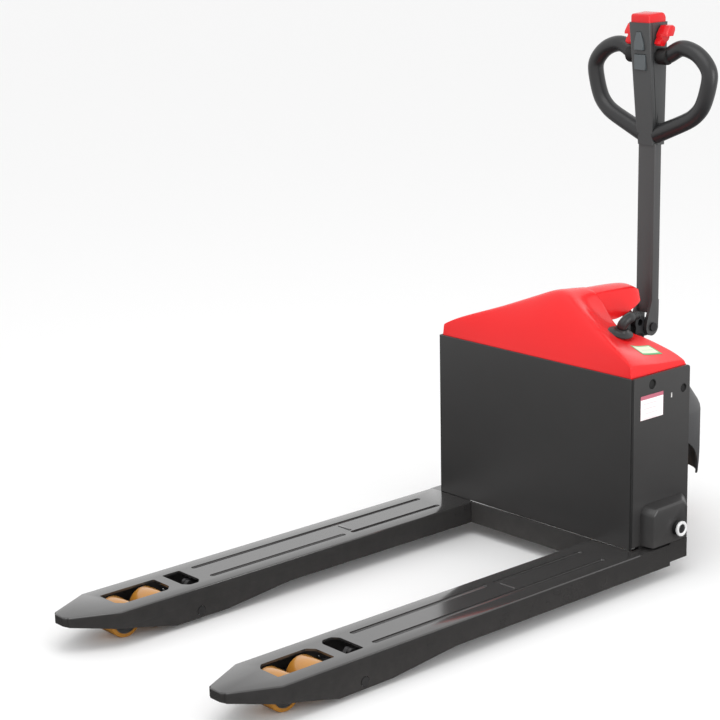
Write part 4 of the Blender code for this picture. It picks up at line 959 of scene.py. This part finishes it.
for low, high in ((-0.05, -0.0250), (0.0250, 0.05)):      # the joint behind the front blade
    line = [(head_section(z)[1] + 0.0108, z) for z in (0.92, 1.24)]
    sockets.append(from_points([*line, (line[1][0] + 0.0016, 1.24), (line[0][0] + 0.0016, 0.92)],
                               "X", low, high))
for side in (-1, 1):                                      # the blade narrows at its foot
    foot = from_points([(0.0225, 0.92), (0.04, 0.92), (0.04, 1.02), (0.0292, 1.02),
                        (0.0255, 0.975), (0.0225, 0.95)], "Y", 0.36, 0.4010)
    sockets.append(mirrored(foot, side))
shell = combined(shell, *sockets, operation="DIFFERENCE")
placed("head_shell", shell, "tiller", HEAD_PLASTIC, ["tiller_head"], edge=0.0008)

arrow = from_points([(-0.0136, 1.1565), (0.0136, 1.1565), (0.0136, 1.1715), (0.0066, 1.1987),
                     (-0.0066, 1.1987), (-0.0136, 1.1715)], "Y", 0.3592, 0.3705)
placed("lift_button", arrow, "raise_button", BUTTON_PLASTIC, ["raise_button"],
       edge=0.0012)
square = block((-0.0163, 0.0163), (0.3642, 0.3745), (1.1098, 1.1458))
placed("lowering_button", square, "lower_button", BUTTON_PLASTIC, ["lower_button"],
       edge=0.0012)

# ---- reversing button ---------------------------------------------------------------
# The red cap across the head's top that reverses the truck when it is pushed against the
# operator: an arched moulding that sinks between the head's walls, on a square stem.
cap_low, cap_high = HEAD_HIGH + 0.0020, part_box("belly_button")[1].z
cap_front, cap_rear = pocket[0] + 0.0006, pocket[1] - 0.0006
arch = [(cap_rear, cap_low), (cap_front, cap_low)]
arch += arc(cap_front + 0.0075, cap_high - 0.0095, 0.0075, 180, 112, 6)
arch += arc(cap_rear - 0.0150, cap_high - 0.0150, 0.0150, 90, 0, 9)
cap = from_points(arch, "X", -half + 0.0031, half - 0.0031)
bevel_where(cap, lambda e: abs(e.verts[0].co.x - e.verts[1].co.x) < 0.0001
            and max(v.co.z for v in e.verts) > RIM, 0.0032, 3)
stem = block((-0.012, 0.012), (0.386, 0.410), (HEAD_HIGH - 0.0012, cap_low + 0.001))
placed("reversing_cap", combined(cap, stem), "belly_button", CONTROL_RED,
       ["belly_button"], angle=50)

# ---- throttle -----------------------------------------------------------------------
# The butterfly: one spindle through the head with a thumb wing each side. Each wing has an
# upper and a lower lobe, a thumb scallop and a step that clears the hand guard as it turns.
def throttle_wing(side):
    lobe = []
    for y, z in ((-0.0120, -0.0020), (-0.0190, -0.0100), (-0.0205, -0.0165), (-0.0150, -0.0215),
                 (-0.0060, -0.0225), (0.0020, -0.0140), (0.0100, -0.0060), (0.0145, 0.0030),
                 (0.0190, 0.0130), (0.0190, 0.0215), (0.0120, 0.0262), (0.0010, 0.0250),
                 (-0.0060, 0.0160), (-0.0120, 0.0070)):
        lobe.append((THROTTLE[0] + y, THROTTLE[1] + z))
    wing = from_points(lobe, "X", 0.0335, 0.0660)
    bevel_where(wing, lambda e: abs(e.verts[0].co.x - e.verts[1].co.x) < 0.0001, 0.0035, 2)
    scallop = rod("Z", (0.052, THROTTLE[0] + 0.033), 0.0165, THROTTLE[1], THROTTLE[1] + 0.03, 24)
    wing = combined(wing, rod("X", THROTTLE, 0.0125, 0.0330, 0.0600, 32, 0.002))
    step = block((0.0535, 0.08), (0.36, 0.43), (1.15, THROTTLE[1] + 0.001))
    wing = combined(wing, scallop, step, operation="DIFFERENCE")
    return mirrored(wing, side)


throttle = combined(rod("X", THROTTLE, 0.0078, -0.040, 0.040, 24), throttle_wing(1),
                    throttle_wing(-1))
placed("throttle_butterfly", throttle, "throttle", CONTROL_RED, ["throttle_wings"],
       edge=0.0008, angle=40)

# ---- handle loops -------------------------------------------------------------------
# Closed hand guards that leave the head under the throttle and come back near its foot, an
# oval tube with a soft grained skin.
LOOP_Y = 0.408
LOOP_RADIUS = 0.0192
LOOP_GUIDES = ((0.020, 1.141), (0.050, 1.143), (0.090, 1.162), (0.128, 1.156), (0.158, 1.136),
               (0.175, 1.108), (0.170, 1.070), (0.156, 1.032), (0.136, 1.009), (0.112, 0.994),
               (0.064, 0.973), (0.020, 0.955))


def handle_loop(label, side):
    route = smooth_route([Vector((x, LOOP_Y, z)) for x, z in LOOP_GUIDES], 8)
    radii = [LOOP_RADIUS * (1 + 0.12 * (i / (len(route) - 1)) ** 6) for i in range(len(route))]
    loop = tube(route, radii, 28)
    placed(f"hand_guard_{label}", mirrored(loop, side), "tiller", GRIP_PLASTIC,
           [f"handle_loop_{label}"])
    collar = rod("X", (LOOP_Y - 0.008, 1.1415), 0.0195, 0.0300, 0.0610, 40, 0.0035)
    placed(f"throttle_collar_{label}", mirrored(collar, side), "tiller", BLACK_AND_PAINTED_SHADE)


for label, side in SIDES:
    handle_loop(label, side)

# ---- drive unit ---------------------------------------------------------------------
# A vertical motor hangs in a slewing ring over the driven wheel and turns with it. Its brake
# sits on top, a gear case beside the wheel, and a curved guard covers the rear.
CAST_ALLOY = finish("cast_alloy", (0.30, 0.30, 0.31), 0.50, metallic=0.85, drift=0.35, grain=380,
                    depth=0.25, dust=0.2)
GUARD_PLASTIC = finish("guard_moulding", (0.055, 0.055, 0.057), 0.44, grain=1200, depth=0.18,
                       dust=0.25)
TYRE_RUBBER = finish("tyre_rubber", (0.020, 0.020, 0.020), 0.70, grain=500, depth=0.25, dust=0.35)
WHEEL_R, WHEEL_HALF = 0.105, 0.035

tread = turned([(0.0800, -WHEEL_HALF + 0.001), (0.0900, -WHEEL_HALF),
                (WHEEL_R - 0.005, -WHEEL_HALF), (WHEEL_R - 0.0015, -WHEEL_HALF + 0.0018),
                (WHEEL_R, -WHEEL_HALF + 0.006), (WHEEL_R, WHEEL_HALF - 0.006),
                (WHEEL_R - 0.0015, WHEEL_HALF - 0.0018), (WHEEL_R - 0.005, WHEEL_HALF),
                (0.0900, WHEEL_HALF), (0.0800, WHEEL_HALF - 0.001)],
               (0, STEER_Y, WHEEL_R), "X", 96)
placed("drive_tread", tread, "drive_wheel", POLYURETHANE, ["drive_tyre"])
rim = turned([(0.0125, -0.024), (0.032, -0.030), (0.036, -0.026), (0.050, -0.012),
              (0.068, -0.012), (0.0705, -0.032), (0.0797, -0.032), (0.0797, 0.032),
              (0.0705, 0.032), (0.068, 0.012), (0.050, 0.012), (0.036, 0.026), (0.032, 0.030),
              (0.0125, 0.030)], (0, STEER_Y, WHEEL_R), "X", 72)
studs = []
for i in range(6):
    t = math.tau * i / 6
    y, z = STEER_Y + 0.058 * math.cos(t), WHEEL_R + 0.058 * math.sin(t)
    studs.append((1, rod("X", (y, z), 0.0052, -0.0185, -0.0118, 6)))
placed("drive_rim", joined((0, rim), *studs), "drive_wheel", [MACHINED, ZINC],
       ["drive_hub"])

fins = [(0.0620, 0.2330)]
for i in range(14):
    z = 0.243 + 0.0078 * i
    fins += [(0.0620, z), (0.0585, z + 0.0012), (0.0585, z + 0.0036), (0.0620, z + 0.0048)]
profile = [(0, 0.2323), (0.0610, 0.2323)] + fins + [(0.0620, 0.4370), (0.0605, 0.4398),
                                                    (0.0480, 0.4400), (0.0480, 0.4600),
                                                    (0.0455, 0.4645), (0, 0.4645)]
placed("traction_motor", turned(profile, (0, STEER_Y, 0), "Z", 72), "drive_unit", CAST_ALLOY,
       ["drive_motor"])

ring = turned([(0.0665, 0.3585), (0.0665, 0.3712), (0.0672, 0.3717), (0.0910, 0.3717),
               (0.0920, 0.3707), (0.0920, 0.3590), (0.0910, 0.3580), (0.0672, 0.3580)],
              (0, STEER_Y, 0), "Z", 96)
bolts = []
for i in range(12):
    t = math.tau * (i + 0.5) / 12
    at = (0.079 * math.cos(t), STEER_Y + 0.079 * math.sin(t))
    bolts.append((1, rod("Z", at, 0.0048, 0.3548, 0.3582, 6)))
placed("slewing_bearing", joined((0, ring), *bolts), "drive_unit", [ZINC, SHADE_STEEL],
       ["slewing_ring"])

COVER_R = 0.158
CORNER_FULLNESS = 3.5                      # power of the guard's rounded-square plan
guard_wall = [(COVER_R - 0.0030, 0.132), (COVER_R - 0.0010, 0.160), (COVER_R, 0.190),
              (COVER_R, 0.290), (COVER_R - 0.0015, 0.302), (COVER_R - 0.0060, 0.3135),
              (0.1330, 0.3480), (0.1270, 0.3530), (0.1180, 0.3545), (0.070, 0.3545),
              (0.070, 0.3515), (0.1180, 0.3515), (0.1255, 0.3498), (0.1310, 0.3455),
              (COVER_R - 0.0090, 0.3115), (COVER_R - 0.0050, 0.301), (COVER_R - 0.0040, 0.190),
              (COVER_R - 0.0070, 0.132)]
guard = bmesh.new()
begin = math.radians(-8)
guard_verts = [guard.verts.new((r * math.cos(begin), r * math.sin(begin), h)) for r, h in guard_wall]
guard.faces.new(guard_verts)
bmesh.ops.spin(guard, geom=guard.faces[:], cent=(0, 0, 0), axis=(0, 0, 1), dvec=(0, 0, 0),
               angle=math.radians(196), steps=64, use_merge=False)
if len([f for f in guard.faces if len(f.verts) == len(guard_wall)]) < 2:
    guard.faces.new(guard_verts)
for vert in guard.verts:
    reach = math.hypot(vert.co.x, vert.co.y)
    swell = (abs(vert.co.x / reach) ** CORNER_FULLNESS
             + abs(vert.co.y / reach) ** CORNER_FULLNESS) ** (-1 / CORNER_FULLNESS)
    vert.co.x *= swell
    vert.co.y *= swell
bmesh.ops.translate(guard, verts=guard.verts, vec=(0, STEER_Y, 0))
bmesh.ops.recalc_face_normals(guard, faces=guard.faces)
scoop = from_points([(STEER_Y - 0.04, 0.10)] + arc(STEER_Y + 0.005, 0.135, 0.100, -10, 90, 14)
                    + [(STEER_Y - 0.04, 0.235)], "X", -0.2, 0.2)
guard = combined(guard, scoop, operation="DIFFERENCE")
placed("wheel_guard", guard, "drive_unit", GUARD_PLASTIC, ["drive_cover"],
       angle=30)

# ---- castors ------------------------------------------------------------------------
# Two small swivel castors steady the body beside the driven wheel: zinc forks and solid
# rubber wheels on plain axles.
for label, side in SIDES:
    centre = centre_of(f"castor_wheel_{label}")
    half = 0.0155
    tyre = turned([(0.024, -half + 0.002), (0.034, -half), (0.0362, -half + 0.0018),
                   (0.037, -half + 0.005), (0.037, half - 0.005), (0.0362, half - 0.0018),
                   (0.034, half), (0.024, half - 0.002)], centre, "X", 56)
    core = turned([(0.0060, -half), (0.0120, -half), (0.0130, -half + 0.004),
                   (0.0225, -half + 0.005), (0.0238, -half + 0.002), (0.0238, half - 0.002),
                   (0.0225, half - 0.005), (0.0130, half - 0.004), (0.0120, half),
                   (0.0060, half)], centre, "X", 40)
    placed(f"castor_tyre_{label}", joined((0, tyre), (1, core)), f"castor_wheel_{label}",
           [TYRE_RUBBER, HEAD_PLASTIC], [f"castor_wheel_{label}"])

# ---- frame pieces that keep their own shape -----------------------------------------
# Brackets, arms, rods and the packs inside the body are plain plate and bar work, so they
# are only painted.
BATTERY_CASE = finish("battery_moulding", (0.045, 0.050, 0.060), 0.45, grain=1000, depth=0.15)
KEPT = {
    FRAME_PAINT: ["lift_crosshead"],
    SHADE_STEEL: ["cross_shaft", "push_rod_left", "push_rod_right", "load_arm_left",
                  "load_arm_right", "drive_bracket", "lift_cylinder", "steering_knuckle",
                  "tiller_pin"],
    ZINC: ["lift_ram", "roller_bogie_left", "roller_bogie_right", "castor_fork_left",
           "castor_fork_right"],
    CAST_ALLOY: ["motor_controller", "pump_unit", "gearbox"],
    BATTERY_CASE: ["battery_pack"],
    RUBBER: ["cable_inlet"],
}
for made, names in KEPT.items():
    for name in names:
        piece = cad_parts[name]
        piece.data.materials.clear()
        piece.data.materials.append(made)
        piece.data.shade_smooth()
        piece.data.set_sharp_from_angle(angle=math.radians(35))
